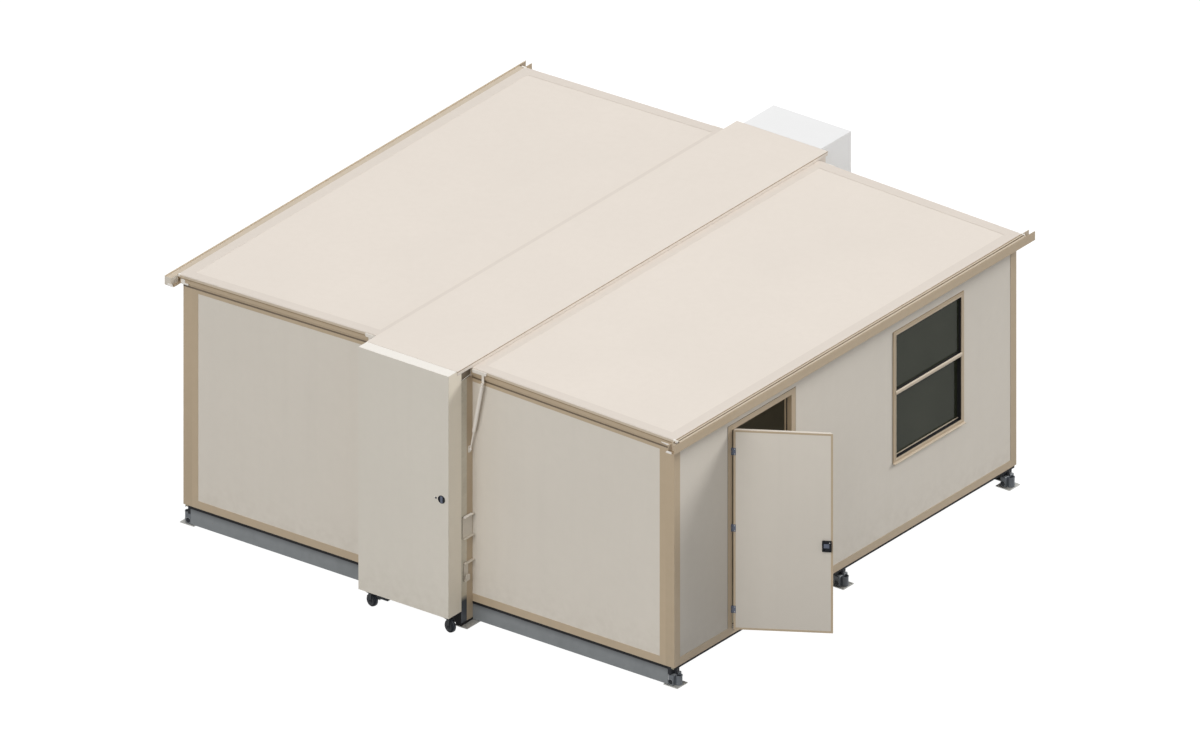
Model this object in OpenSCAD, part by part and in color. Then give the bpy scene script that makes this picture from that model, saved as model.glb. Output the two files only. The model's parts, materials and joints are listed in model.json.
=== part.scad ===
// Rigid-wall shelter: a narrow core with a wing folded out on each side.
// The origin is on the ground, under the middle of the wall box.
// +X is the side with the door, -Y is the front, where the utility cover is.

/* [Shelter] */
// Width over the two side walls
shelter_w = 5640; // [4800:10:6600]
// Length over the end walls of the wings
shelter_l = 5240; // [4400:10:6300]
// Height of a side wall, bottom rail and top rail included
wall_h = 2270; // [2180:10:2600]
// Height of the bottom rails above the ground
ground_gap = 200; // [190:5:260]
// Rise of the wing roofs towards the core, per unit of width
roof_slope = 0.022; // [0.01:0.002:0.04]

/* [Walls] */
// Thickness of a wall, measured over its rails
wall_t = 60; // [55:1:80]
// Depth that the panels sit back behind the faces of their rails
panel_recess = 3; // [1:0.5:5]
// Height of the bottom rails
rail_h = 78; // [60:1:95]
// Height of the top rails
top_rail_h = 66; // [50:1:75]
// Width of a corner post on the end wall
post_end_w = 101; // [80:1:130]
// Width of a corner post on the side wall
post_side_w = 88; // [75:1:110]
// Width of the panel stile beside a corner post
stile_w = 67; // [40:1:90]

/* [Floors] */
// Depth of the floor rim under the walls
floor_rim_t = 23; // [18:1:30]
// Height of the deck above the underside of the bottom rails
deck_t = 35; // [30:1:45]
// Distance of the floor rim from the face of the side wall
rim_setback = 15; // [8:1:25]

/* [Roofs] */
// Thickness of the roof's top lip
lip_t = 36; // [28:1:45]
// Height of the fascia under the lip
fascia_t = 44; // [36:1:55]
// Height of the seal between the roof and the walls
seal_t = 16; // [12:1:22]
// Overhang of the lip past the side wall
eave = 32; // [26:1:45]
// Overhang of the lip past the end walls
gable_reach = 35; // [26:1:45]
// Setback of the fascia behind the lip
fascia_back = 13; // [8:1:18]
// Thickness of the core's roof cap
cap_t = 41; // [34:1:50]
// Overhang of the roof cap past the side of the core
cap_side = 22; // [15:1:30]
// Reach of the roof cap past the front end walls
cap_front = 255; // [235:1:275]
// Reach of the roof cap past the back end walls
cap_back = 175; // [174:1:190]

/* [Gutters] */
// Width of a gutter between its upright walls
gutter_w = 68; // [55:1:85]
// Height of the gutter's outer wall
gutter_h = 88; // [80:1:100]
// Thickness of the gutter's metal
gutter_t = 3; // [2.5:0.5:4]
// Reach of a gutter past the end walls
gutter_reach = 144; // [90:1:180]

/* [Core] */
// Width of the core
core_w = 1000; // [880:10:1200]
// Reach of the core posts past the end walls
core_reach = 171; // [165:1:174]
// Width of a steel channel post, along the shelter
channel_w = 85; // [70:1:88]
// Depth of a steel channel post, across the shelter
channel_d = 50; // [40:1:58]
// Thickness of the channel post's steel
channel_t = 5; // [4:0.5:8]
// Width of a jamb, across the shelter
jamb_w = 60; // [56:1:75]
// Height of the posts' lower ends above the ground
post_foot_z = 27; // [20:1:40]
// Thickness of the two end bulkheads
bulkhead_t = 60; // [45:1:62]

/* [Door] */
// Distance from the front corner to the door frame
door_y = 824; // [500:1:1000]
// Width of the door leaf, without its lip
leaf_w = 900; // [760:5:1000]
// Height of the door leaf, without its lip
leaf_h = 2035; // [1940:5:2045]
// Depth of the door leaf behind the face of the frame
leaf_t = 45; // [38:1:45]
// Thickness of the lip that closes over the frame
leaf_lip_t = 7; // [5:0.5:9]
// Reach of the lip past the leaf on the lock side
leaf_lip_side = 20; // [14:1:24]
// Reach of the lip past the leaf at the top
leaf_lip_top = 13; // [10:1:18]
// Height of the door sill above the deck
door_sill_h = 14; // [10:1:18]
// Width of the door frame's face
door_frame_w = 62; // [50:1:75]
// Gap round the hinge side, head and foot of the leaf
leaf_gap = 5; // [5:0.5:6]
// Gap on the lock side of the leaf
lock_gap = 7; // [7:0.5:9]
// Angle at which the door stands open
door_open = 58.5; // [0:0.5:100]

/* [Windows] */
// Distance from the back corner to the window frame
window_y = 810; // [762:1:1562]
// Width of a window frame
window_w = 1078; // [800:1:1200]
// Height of a window frame
window_h = 1345; // [900:1:1380]
// Height of a window frame above the bottom rail's underside
window_sill = 762; // [600:1:800]
// Width of a window frame's face
window_frame_w = 42; // [35:1:60]
// Height of the meeting rail's middle above the frame's lower edge
meeting_z = 712; // [400:1:800]
// Width of the meeting rail
meeting_w = 34; // [28:1:50]
// Thickness of a pane
pane_t = 5; // [4:0.5:8]

/* [Underframe] */
// Height of the cross beams
beam_h = 164; // [130:1:170]
// Depth of a cross beam's flanges
beam_d = 60; // [45:1:70]
// Thickness of a cross beam's steel
beam_t = 6; // [4:0.5:8]
// Distance of a foot's middle from the end wall
foot_y = 75; // [70:1:140]
// Side of a foot's square base plate
foot_plate = 160; // [150:1:220]
// Thickness of the base plates
foot_plate_t = 8; // [6:0.5:12]
// Diameter of the round jack tube
jack_tube_d = 72; // [60:1:78]
// Radius of the anchor holes in the base plates
anchor_r = 7; // [5:0.5:8]
// Diameter of a caster's wheel
wheel_d = 124; // [100:1:124]
// Width of a caster's wheel
wheel_w = 44; // [26:1:46]
// Distance between a caster's kingpin and its wheel
caster_trail = 40; // [24:1:42]

/* [Utility cover] */
// Reach of the utility cover past each side of the core
cover_reach = 17; // [5:0.5:20]
// Depth of the utility cover
cover_d = 200; // [180:1:260]
// Thickness of the cover's front panel
cover_front_t = 30; // [18:1:40]
// Thickness of the cover's side, top and bottom panels
cover_side_t = 25; // [15:1:30]
// Height of the cover's lower edge above the ground
cover_foot_z = 170; // [168:1:185]

/* [Air conditioner] */
// Width of the air conditioner
aircon_w = 890; // [700:10:890]
// Reach of the air conditioner past the back end walls
aircon_reach = 633; // [450:1:700]
// Height of the air conditioner
aircon_h = 1780; // [1000:10:1900]

/* [Hidden] */

cut = 1;                 // how far a cutting shape runs past what it cuts
round_sides = 48;        // sides of a round shape

cream = "#dcd5c8";
tan_trim = "#a99a86";
steel = "#8b9096";
dark_steel = "#3c4046";
blue_grey = "#5f646c";
black = "#202226";

// Outer faces
side_x = shelter_w / 2;
end_y = shelter_l / 2;
core_x = core_w / 2;
wall_in_x = side_x - wall_t;
wall_in_y = end_y - wall_t;

// Heights, from the ground
rail_z = ground_gap;
rim_z = rail_z - floor_rim_t;
deck_z = rail_z + deck_t;
wall_top_z = rail_z + wall_h;
roof_t = lip_t + fascia_t;
seal_back = 10;
function rise(x) = (side_x - x) * roof_slope;
function wall_top(x) = wall_top_z + rise(x);
function roof_under(x) = wall_top(x) + seal_t;
function roof_top(x) = roof_under(x) + roof_t;
cap_clear = 1;
cap_z = roof_top(core_x) + cap_clear;
cap_top_z = cap_z + cap_t;
ceiling_t = 98;
ceiling_z = cap_z - ceiling_t;

// Doorway, measured from the middle of the shelter
door_y0 = -end_y + door_y;
door_hole_w = leaf_w + leaf_gap + lock_gap;
door_y1 = door_y0 + door_hole_w + 2 * door_frame_w;
leaf_y0 = door_y0 + door_frame_w + leaf_gap;
sill_z = deck_z + door_sill_h;
leaf_z0 = sill_z + leaf_gap;
leaf_face_x = side_x + leaf_gap + leaf_lip_t;
door_hole_top = leaf_z0 + leaf_h + leaf_gap;
door_head_h = 54;
door_top_z = door_hole_top + door_head_h;
stop_t = 10;
stop_reach = 32;

// Door hinges
hinge_pin_r = 3;
hinge_knuckle_r = 6;
hinge_h = 74;
hinge_t = 3;
hinge_strap_w = 22;
hinge_plate_w = 16;
hinge_play = 0.3;
hinge_slit = 0.5;
hinge_x = side_x + hinge_knuckle_r + 2;
hinge_y = leaf_y0 - hinge_knuckle_r - 1;
hinge_zs = [rail_z + 260, rail_z + 1095, rail_z + 1881];

// Door lock
lock_z = rail_z + 951;
lock_w = 87;
lock_h = 106;
lock_d = 30;
lock_edge = 13;
inner_lock_w = 74;
inner_lock_h = 96;
inner_lock_d = 12;
inner_lock_edge = 36;

// Windows
window_y1 = end_y - window_y;
window_y0 = window_y1 - window_w;
window_z0 = rail_z + window_sill;
window_z1 = window_z0 + window_h;
window_proud = 6;
upper_pane_x = side_x - 24;
lower_pane_x = side_x - 40;

// Underframe
beam_x0 = core_x;
beam_x1 = side_x - 79;
beam_z0 = rim_z - beam_h;
beam_lap = 5;             // how far the flanges run in past the end walls
beam_y = wall_in_y - beam_lap + beam_d;
jack_box_w = 59;
jack_box_d = 134;
jack_box_h = 104;
jack_box_x0 = beam_x1;
jack_hole_x = beam_x1 + 30;
jack_hole_z = foot_plate_t + 36;
jack_hole_r = 16;
jack_tube_x = side_x - 4;
jack_tube_h = 96;
jack_head_x = beam_x1 + 37.5;
jack_head_d = 44;
foot_x = side_x - 42;
foot_ys = [-end_y + foot_y, 0, end_y - foot_y];
anchor_spacing = 120;
anchor_edge = 20;
chassis_w = jamb_w;
chassis_z0 = 60;
bulkhead_y = end_y + 90;
end_bar_y = end_y + 150;
base_plate_w = 150;
base_plate_l = 211;
base_plate_x1 = core_x + 76;
base_plate_y1 = end_y + core_reach + 12;
base_block_in = 6;
base_block_back = 10;

// Casters
kingpin_x = 448;
kingpin_y = end_y + 310;
kingpin_r = 10;
kingpin_h = 15;
caster_plate_t = 12;
caster_plate_z = 150;
fork_top_z = caster_plate_z - 0.5;
swivel_r = 24;
swivel_t = 10;
fork_crown_t = 6;
fork_side_t = 4;
fork_side_gap = 5;
fork_side_w = 44;
axle_r = 6;
axle_play = 0.3;
wheel_lift = 4;
tread_bevel = 5;
wheel_z = wheel_lift + wheel_d / 2;
outrigger_x0 = 330;
outrigger_y1 = kingpin_y + 45;
tow_tube_x0 = 207;
tow_tube_h = 40;
trail_angle = -15;

// Utility cover
cover_w = core_w + 2 * cover_reach;
cover_y1 = -(end_y + 190);
cover_y0 = cover_y1 - cover_d;
cover_top_z = cap_top_z + 1;
cover_notch_y = -(end_y + cap_front + 10);
cover_notch_z = cap_z - 8;
cover_pin_x = -(cover_w / 2 + 9);
cover_pin_y = cover_y1 + 10;
cover_pin_r = 5;
cover_knuckle_r = 9;
cover_hinge_h = 120;
cover_strap_t = 4;
cover_strap_w = 60;
cover_arm_y = 3;
cover_arm_t = 8;
cover_hinge_zs = [rail_z + 150, rail_z + 1150, rail_z + 2150];
cover_lock_z = rail_z + 1177;
cover_lock_spots = [[439, 40, 6], [374, 7, 4]];   // place across, radius, height

// Air conditioner
aircon_top_z = cap_top_z + 1;
aircon_y0 = end_y + 150;
aircon_y1 = end_y + aircon_reach;

// Struts that carry the inner edge of a wing's roof
strut_y = end_y + 48;
strut_low = [core_x + 14, rail_z + 1580];
strut_high = [core_x + 150, rail_z + 2290];
strut_tube_d = 28;
strut_rod_d = 14;
strut_eye_d = 26;
strut_eye_t = 14;
strut_tube_from = 0.27;
strut_tube_to = 0.97;
strut_foot = [6, 20, 34];
roof_bar_x = [core_x + 34, core_x + 196];
roof_bar_h = 34;
roof_bar_d = 16;
roof_lug_w = 28;
roof_lug_t = 6;

// Clamps between the core and a wing's end wall, as distances past that wall
latch_plate_t = 4;
upper_latch_z = [rail_z + 694, rail_z + 913];
upper_latch_y = [8, 158];
upper_latch_x = 36;
upper_flange_t = 5;
latch_bolt_y = [60, 110];
latch_bolt_d = 16;
latch_bolt_h = 12;
lower_latch_z = [rail_z + 256, rail_z + 440];
lower_latch_y = [6, 136];
lower_latch_x = 34;
lower_flange_t = 6;
lower_hook_x = 30;
lower_hook_y = 70;
lower_hook_h = 70;

// A shape drawn in the front right quarter, and its copies
module left_copy() mirror([1, 0, 0]) children();
module back_copy() mirror([0, 1, 0]) children();
module both_sides() {
    children();
    left_copy() children();
}
module both_ends() {
    children();
    back_copy() children();
}
module four_corners() both_sides() both_ends() children();

// A box between two corners
module box(low, high) translate(low) cube(high - low);

// An outline across the shelter, given its thickness from y0 to y1
module upright(points, y0, y1) {
    translate([0, y1, 0])
        rotate([90, 0, 0])
            linear_extrude(y1 - y0)
                polygon(points);
}

// A point below the slope of a wing's wall top
function under_slope(x, drop) = [x, wall_top(x) - drop];

// An upright slab whose top follows the slope of the wing's roof
module sloped_slab(x0, x1, y0, y1, z0, drop)
    upright([[x0, z0], [x1, z0], under_slope(x1, drop), under_slope(x0, drop)], y0, y1);

// ---------------------------------------------------------------- floors

module core_floor() color(cream) {
    box([-core_x, -wall_in_y, rim_z], [core_x, wall_in_y, deck_z]);
    end_x = core_x - jamb_w;
    box([-end_x, -bulkhead_y, rim_z], [end_x, bulkhead_y, deck_z]);
}

module right_floor() color(cream) {
    rim_y = beam_y - beam_t - 1;
    box([core_x, -rim_y, rim_z], [side_x - rim_setback, rim_y, rail_z]);
    box([core_x, -wall_in_y, rail_z - cut], [wall_in_x, wall_in_y, deck_z]);
}

module left_floor() left_copy() right_floor();

// ------------------------------------------------------------ underframe

// Long rails under the sides of the core, and a bar across each end
module core_chassis() color(dark_steel) {
    both_sides()
        box([core_x - chassis_w, -wall_in_y, chassis_z0], [core_x, wall_in_y, rim_z]);
    both_ends()
        box([jamb_w - core_x, -end_bar_y, chassis_z0], [core_x - jamb_w, -bulkhead_y, rim_z]);
}

// Plates past the ends of the core that the casters turn in
module caster_plate() difference() {
    z1 = caster_plate_z + caster_plate_t;
    union() {
        box([outrigger_x0, -outrigger_y1, caster_plate_z],
            [core_x, -end_y - core_reach - 2, z1]);
        box([outrigger_x0, -outrigger_y1, caster_plate_z],
            [core_x - jamb_w, -end_bar_y, z1]);
    }
    translate([kingpin_x, -kingpin_y, caster_plate_z - cut])
        cylinder(r = kingpin_r + axle_play, h = caster_plate_t + 2 * cut, $fn = round_sides);
}

module caster_plates() color(dark_steel) {
    four_corners() caster_plate();
    both_ends() {
        z1 = caster_plate_z + caster_plate_t;
        box([-outrigger_x0 - cut, -outrigger_y1, z1 - tow_tube_h], [-tow_tube_x0, -end_bar_y, z1]);
    }
}

// A channel beam, open towards the middle of the shelter
module channel_beam(y0, web_top) {
    box([beam_x0, y0, beam_z0], [beam_x1, y0 + beam_t, web_top]);
    for (z = [beam_z0, rim_z - beam_t])
        box([beam_x0, y0, z], [beam_x1, y0 + beam_d, z + beam_t]);
}

module cross_beams() color(blue_grey) {
    four_corners() channel_beam(-beam_y, rail_z);
    both_sides() channel_beam(-beam_d / 2, rim_z);
}

// A jack at a beam's end: housing, round tube and the head under the floor
module jack() {
    difference() {
        box([jack_box_x0, -jack_box_d / 2, foot_plate_t],
            [jack_box_x0 + jack_box_w, jack_box_d / 2, foot_plate_t + jack_box_h]);
        translate([jack_hole_x, -jack_box_d / 2 - cut, jack_hole_z])
            rotate([-90, 0, 0])
                cylinder(r = jack_hole_r, h = jack_box_d + 2 * cut, $fn = round_sides);
    }
    translate([jack_tube_x, 0, foot_plate_t])
        cylinder(d = jack_tube_d, h = jack_tube_h, $fn = round_sides);
    translate([jack_head_x, 0, foot_plate_t + jack_box_h - cut])
        cylinder(d = jack_head_d, h = rim_z - foot_plate_t - jack_box_h + cut, $fn = round_sides);
}

module levelling_feet() color(blue_grey)
    for (y = foot_ys) translate([0, y, 0]) both_sides() jack();

module foot_plates() color(steel)
    for (y = foot_ys) translate([0, y, 0]) both_sides() difference() {
        half = foot_plate / 2;
        box([foot_x - half, -half, 0], [foot_x + half, half, foot_plate_t]);
        for (side = [-1, 1])
            translate([foot_x - half + anchor_edge, side * anchor_spacing / 2, -cut])
                cylinder(r = anchor_r, h = foot_plate_t + 2 * cut, $fn = round_sides);
    }

// Plates under the core's corners, each with the block that its post stands on
module core_base_plates() color(steel) four_corners() {
    box([base_plate_x1 - base_plate_w, -base_plate_y1, 0],
        [base_plate_x1, -base_plate_y1 + base_plate_l, foot_plate_t]);
    box([core_x - jamb_w, -end_y - core_reach, foot_plate_t - cut],
        [core_x - base_block_in, -end_y - base_block_back, post_foot_z]);
}

// ------------------------------------------------------------------ core

module core_posts() color(steel) four_corners() {
    y0 = -end_y - core_reach;
    y1 = y0 + channel_w;
    box([core_x - channel_t, y0, post_foot_z], [core_x, y1, ceiling_z]);
    for (y = [y0, y1 - channel_t])
        box([core_x - channel_d, y, post_foot_z], [core_x, y + channel_t, ceiling_z]);
}

module core_jambs() color(tan_trim) four_corners()
    box([core_x - jamb_w, -end_y - core_reach + channel_w, post_foot_z],
        [core_x, -wall_in_y, ceiling_z]);

module front_bulkhead() color(cream) {
    x1 = core_x - channel_d;
    box([-x1, -bulkhead_y - bulkhead_t, rim_z], [x1, -bulkhead_y, ceiling_z]);
}

module back_bulkhead() back_copy() front_bulkhead();

module core_roof() color(cream) {
    box([-core_x - cap_side, -end_y - cap_front, cap_z],
        [core_x + cap_side, end_y + cap_back, cap_top_z]);
    box([-core_x, -end_y - core_reach, ceiling_z], [core_x, end_y + core_reach, cap_z + cut]);
}

// ------------------------------------------------------------ wing roofs

// One layer of the roof panel, between two heights above the wall's top
module roof_layer(low, high, x1, y_reach) {
    x0 = core_x + 1;
    translate([0, end_y + y_reach, 0])
        rotate([90, 0, 0])
            linear_extrude(2 * (end_y + y_reach))
                polygon([[x0, wall_top(x0) + low], [x1, wall_top(x1) + low],
                         [x1, wall_top(x1) + high], [x0, wall_top(x0) + high]]);
}

module right_roof() color(cream) {
    roof_layer(seal_t + fascia_t, seal_t + roof_t, side_x + eave, gable_reach);
    roof_layer(seal_t, seal_t + fascia_t + cut,
               side_x + eave - fascia_back, gable_reach - fascia_back);
    roof_layer(0, seal_t + cut, side_x - seal_back, -seal_back);
}

module left_roof() left_copy() right_roof();

// A gutter: flange under the fascia, inner wall, trough and outer wall
module right_gutter() color(tan_trim) {
    x0 = side_x + 1;
    x1 = side_x + eave + 1;
    x2 = x1 + gutter_t + gutter_w;
    z0 = roof_under(side_x + eave - fascia_back) - gutter_t;
    length = shelter_l + 2 * gutter_reach;
    translate([0, length / 2, 0])
        rotate([90, 0, 0])
            linear_extrude(length) {
                translate([x0, z0]) square([x2 + gutter_t - x0, gutter_t]);
                translate([x1, z0]) square([gutter_t, gutter_h - 6]);
                translate([x2, z0]) square([gutter_t, gutter_h]);
            }
}

module left_gutter() left_copy() right_gutter();

// ----------------------------------------------------------------- walls

module corner_posts() color(tan_trim) four_corners() {
    sloped_slab(side_x - post_end_w, side_x, -end_y, -wall_in_y, rail_z, 0);
    sloped_slab(wall_in_x, side_x, -end_y, -end_y + post_side_w, rail_z, 0);
}

// Inner edge of the stile beside a corner post
panel_x1 = side_x - post_end_w - stile_w;

module front_right_wall() color(cream)
    sloped_slab(core_x, panel_x1, -end_y + panel_recess, -wall_in_y - panel_recess,
                rail_z + rail_h, top_rail_h);

module front_left_wall() left_copy() front_right_wall();
module back_right_wall() back_copy() front_right_wall();
module back_left_wall() left_copy() back_right_wall();

// Bottom rail, stile and top rail of each end wall, round three sides of its panel
module end_wall_frames() color(tan_trim) four_corners() {
    post_x = side_x - post_end_w;
    upright([[core_x, rail_z], [post_x, rail_z], under_slope(post_x, 0), under_slope(core_x, 0),
             under_slope(core_x, top_rail_h), under_slope(panel_x1, top_rail_h),
             [panel_x1, rail_z + rail_h], [core_x, rail_z + rail_h]], -end_y, -wall_in_y);
}

// A stretch of side wall panel between its rails
side_panel_y = end_y - post_side_w;
side_panel_z1 = wall_top_z - top_rail_h;
module side_panel(y0, y1, z0)
    box([wall_in_x + panel_recess, y0, z0], [side_x - panel_recess, y1, side_panel_z1]);

module window_cut()
    box([wall_in_x - cut, window_y0, window_z0], [side_x + cut, window_y1, window_z1]);

module right_wall_front() color(cream) side_panel(-side_panel_y, door_y0, rail_z + rail_h);

module right_wall_over_door() color(cream) side_panel(door_y0, door_y1, door_top_z);

module right_wall_back() color(cream) difference() {
    side_panel(door_y1, side_panel_y, rail_z + rail_h);
    window_cut();
}

module left_side_wall() color(cream) left_copy() difference() {
    side_panel(-side_panel_y, side_panel_y, rail_z + rail_h);
    window_cut();
}

// Bottom and top rails of both side walls
module side_rail(y0, y1, z0, z1)
    box([wall_in_x, y0, z0], [side_x, y1, z1]);

module side_wall_rails() color(tan_trim) {
    rail_top = rail_z + rail_h;
    side_rail(-side_panel_y, door_y0, rail_z, rail_top);
    side_rail(door_y1, side_panel_y, rail_z, rail_top);
    left_copy() side_rail(-side_panel_y, side_panel_y, rail_z, rail_top);
    both_sides() side_rail(-side_panel_y, side_panel_y, side_panel_z1, wall_top_z);
}

// ------------------------------------------------------------------ door

// Ring of jambs, head and sill, with a stop for the leaf
module door_frame() color(tan_trim) difference() {
    box([wall_in_x, door_y0, rail_z], [side_x, door_y1, door_top_z]);
    box([wall_in_x + stop_t, door_y0 + door_frame_w, sill_z],
        [side_x + cut, door_y1 - door_frame_w, door_hole_top]);
    box([wall_in_x - cut, door_y0 + door_frame_w + stop_reach, sill_z],
        [side_x + cut, door_y1 - door_frame_w - stop_reach, door_hole_top - stop_reach]);
}

// Turns the closed door about its hinge pin to where it stands open
module door_swing()
    translate([hinge_x, hinge_y, 0])
        rotate([0, 0, -door_open])
            translate([-hinge_x, -hinge_y, 0])
                children();

// The leaf fills the frame, and a lip on it closes over the lock side and the head
module door_leaf() color(cream) door_swing() {
    leaf_y1 = leaf_y0 + leaf_w;
    leaf_z1 = leaf_z0 + leaf_h;
    box([side_x - leaf_t, leaf_y0, leaf_z0], [leaf_face_x, leaf_y1, leaf_z1]);
    box([side_x + leaf_gap, leaf_y0, leaf_z0],
        [leaf_face_x, leaf_y1 + leaf_lip_side, leaf_z1 + leaf_lip_top]);
}

// A stretch of knuckle on the hinge line
module knuckle(z, h) translate([hinge_x, hinge_y, z])
    cylinder(r = hinge_knuckle_r, h = h, $fn = round_sides);

// Fixed halves: a plate on the frame, two knuckles and the pin
module door_hinges() color(blue_grey) for (z = hinge_zs) {
    half = hinge_h / 2;
    third = hinge_h / 3;
    difference() {
        box([side_x, hinge_y - hinge_plate_w, z - half], [side_x + hinge_t, hinge_y, z + half]);
        box([side_x - cut, hinge_y - hinge_knuckle_r - hinge_t, z - third / 2 - hinge_slit],
            [side_x + hinge_t + cut, hinge_y + cut, z + third / 2 + hinge_slit]);
    }
    knuckle(z - half, third - hinge_slit);
    knuckle(z + third / 2 + hinge_slit, third - hinge_slit);
    translate([hinge_x, hinge_y, z - half])
        cylinder(r = hinge_pin_r, h = hinge_h, $fn = round_sides);
}

// Moving halves: a strap on the leaf and the middle knuckle
module door_hinge_straps() color(blue_grey) door_swing() for (z = hinge_zs) {
    half = hinge_h / 2;
    third = hinge_h / 3;
    difference() {
        union() {
            box([leaf_face_x, hinge_y, z - third / 2],
                [leaf_face_x + hinge_t, leaf_y0 + cut, z + third / 2]);
            box([leaf_face_x, leaf_y0, z - half],
                [leaf_face_x + hinge_t, leaf_y0 + hinge_strap_w, z + half]);
            knuckle(z - third / 2, third);
        }
        translate([hinge_x, hinge_y, z - hinge_h])
            cylinder(r = hinge_pin_r + hinge_play, h = 2 * hinge_h, $fn = round_sides);
    }
}

// Lock box on the outer face, with a plain plate on the inner face
module door_lock() color(black) door_swing() {
    outer_y1 = leaf_y0 + leaf_w + leaf_lip_side - lock_edge;
    box([leaf_face_x, outer_y1 - lock_w, lock_z - lock_h / 2],
        [leaf_face_x + lock_d, outer_y1, lock_z + lock_h / 2]);
    inner_y1 = leaf_y0 + leaf_w - inner_lock_edge;
    box([side_x - leaf_t - inner_lock_d, inner_y1 - inner_lock_w, lock_z - inner_lock_h / 2],
        [side_x - leaf_t, inner_y1, lock_z + inner_lock_h / 2]);
}

// --------------------------------------------------------------- windows

module right_window_frame() difference() {
    box([wall_in_x, window_y0, window_z0], [side_x + window_proud, window_y1, window_z1]);
    for (light = window_lights())
        box([wall_in_x - cut, light[0], light[1]],
            [side_x + window_proud + cut, light[2], light[3]]);
}

// The two lights of a window, each as [low y, low z, high y, high z]
function window_lights() = [
    [window_y0 + window_frame_w, window_z0 + window_frame_w,
     window_y1 - window_frame_w, window_z0 + meeting_z - meeting_w / 2],
    [window_y0 + window_frame_w, window_z0 + meeting_z + meeting_w / 2,
     window_y1 - window_frame_w, window_z1 - window_frame_w]];

module window_frames() color(tan_trim) both_sides() right_window_frame();

module window_glass() color("#3a4038", 0.6) both_sides() {
    lights = window_lights();
    for (i = [0, 1]) {
        x = i == 0 ? lower_pane_x : upper_pane_x;
        box([x, lights[i][0], lights[i][1]], [x + pane_t, lights[i][2], lights[i][3]]);
    }
}

// ------------------------------------------------------ struts and latches

// A rod between two points of the plane of a strut
module strut_bar(from, to, d) {
    run = to - from;
    translate([from[0], -strut_y, from[1]])
        rotate([0, atan2(run[0], run[1]), 0])
            cylinder(d = d, h = norm(run), $fn = round_sides);
}

// A gas strut with its eyes, the jamb bracket and the roof bracket
module roof_strut() {
    run = strut_high - strut_low;
    strut_bar(strut_low, strut_high, strut_rod_d);
    strut_bar(strut_low + run * strut_tube_from, strut_low + run * strut_tube_to, strut_tube_d);
    for (eye = [strut_low, strut_high])
        translate([eye[0], -strut_y - strut_eye_t / 2, eye[1]])
            rotate([-90, 0, 0])
                cylinder(d = strut_eye_d, h = strut_eye_t, $fn = round_sides);
    box([core_x, -strut_y - strut_foot[1], strut_low[1] - strut_foot[2]],
        [core_x + strut_foot[0], -strut_y + strut_foot[1], strut_low[1] + strut_foot[2]]);
    roof_bracket();
}

// Bar along the edge of the roof, with a lug down to the strut's upper eye
module roof_bracket() {
    lip_y = -end_y - gable_reach;
    bar_z1 = roof_top(roof_bar_x[1]) - 2;
    box([roof_bar_x[0], lip_y - roof_bar_d, bar_z1 - roof_bar_h], [roof_bar_x[1], lip_y, bar_z1]);
    lug_y1 = -strut_y + strut_eye_t / 2;
    box([strut_high[0] - roof_lug_w / 2, lug_y1 - cut, strut_high[1]],
        [strut_high[0] + roof_lug_w / 2, lug_y1 - cut + roof_lug_t, bar_z1 - roof_bar_h + cut]);
}

module roof_struts() color(cream) four_corners() roof_strut();

// Clamp brackets that hold a wing's end wall to the core
module latch_pair() {
    plate_x = core_x + latch_plate_t;
    uy0 = -end_y - upper_latch_y[1];
    uy1 = -end_y - upper_latch_y[0];
    uz = upper_latch_z;
    box([core_x, uy0, uz[0]], [plate_x, uy1, uz[1]]);
    for (z = [uz[0], uz[1] - upper_flange_t])
        box([core_x, uy0, z], [core_x + upper_latch_x, uy1, z + upper_flange_t]);
    for (y = latch_bolt_y)
        translate([core_x + upper_latch_x / 2, -end_y - y, uz[1] - cut])
            cylinder(d = latch_bolt_d, h = latch_bolt_h + cut, $fn = round_sides);
    ly0 = -end_y - lower_latch_y[1];
    ly1 = -end_y - lower_latch_y[0];
    lz = lower_latch_z;
    box([core_x, ly0, lz[0]], [plate_x, ly1, lz[1]]);
    box([core_x, ly0, lz[1] - lower_flange_t], [core_x + lower_latch_x, ly1, lz[1]]);
    hook_y1 = -end_y - lower_hook_y;
    box([core_x, ly0, lz[0]], [core_x + lower_hook_x, hook_y1, lz[0] + lower_flange_t]);
    box([core_x + lower_hook_x - lower_flange_t, ly0, lz[0]],
        [core_x + lower_hook_x, hook_y1, lz[0] + lower_hook_h]);
}

module panel_latches() color(cream) four_corners() latch_pair();

// ------------------------------------------------------- air conditioner

module air_conditioner() color("#e8eaec") {
    half = aircon_w / 2;
    box([-half, aircon_y0, aircon_top_z - aircon_h], [half, aircon_y1, ceiling_z]);
    box([-half, end_y + cap_back + cap_clear, ceiling_z - cut], [half, aircon_y1, aircon_top_z]);
}

// --------------------------------------------------------- utility cover

module utility_cover() color(cream) difference() {
    half = cover_w / 2;
    box([-half, cover_y0, cover_foot_z], [half, cover_y1, cover_top_z]);
    box([-half + cover_side_t, cover_y0 + cover_front_t, cover_foot_z + cover_side_t],
        [half - cover_side_t, cover_y1 + cut, cover_top_z - cover_side_t]);
    box([-half - cut, cover_notch_y, cover_notch_z], [half + cut, cover_y1 + cut, cover_top_z + cut]);
}

module cover_knuckle(z, h) translate([cover_pin_x, cover_pin_y, z])
    cylinder(r = cover_knuckle_r, h = h, $fn = round_sides);

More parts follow.
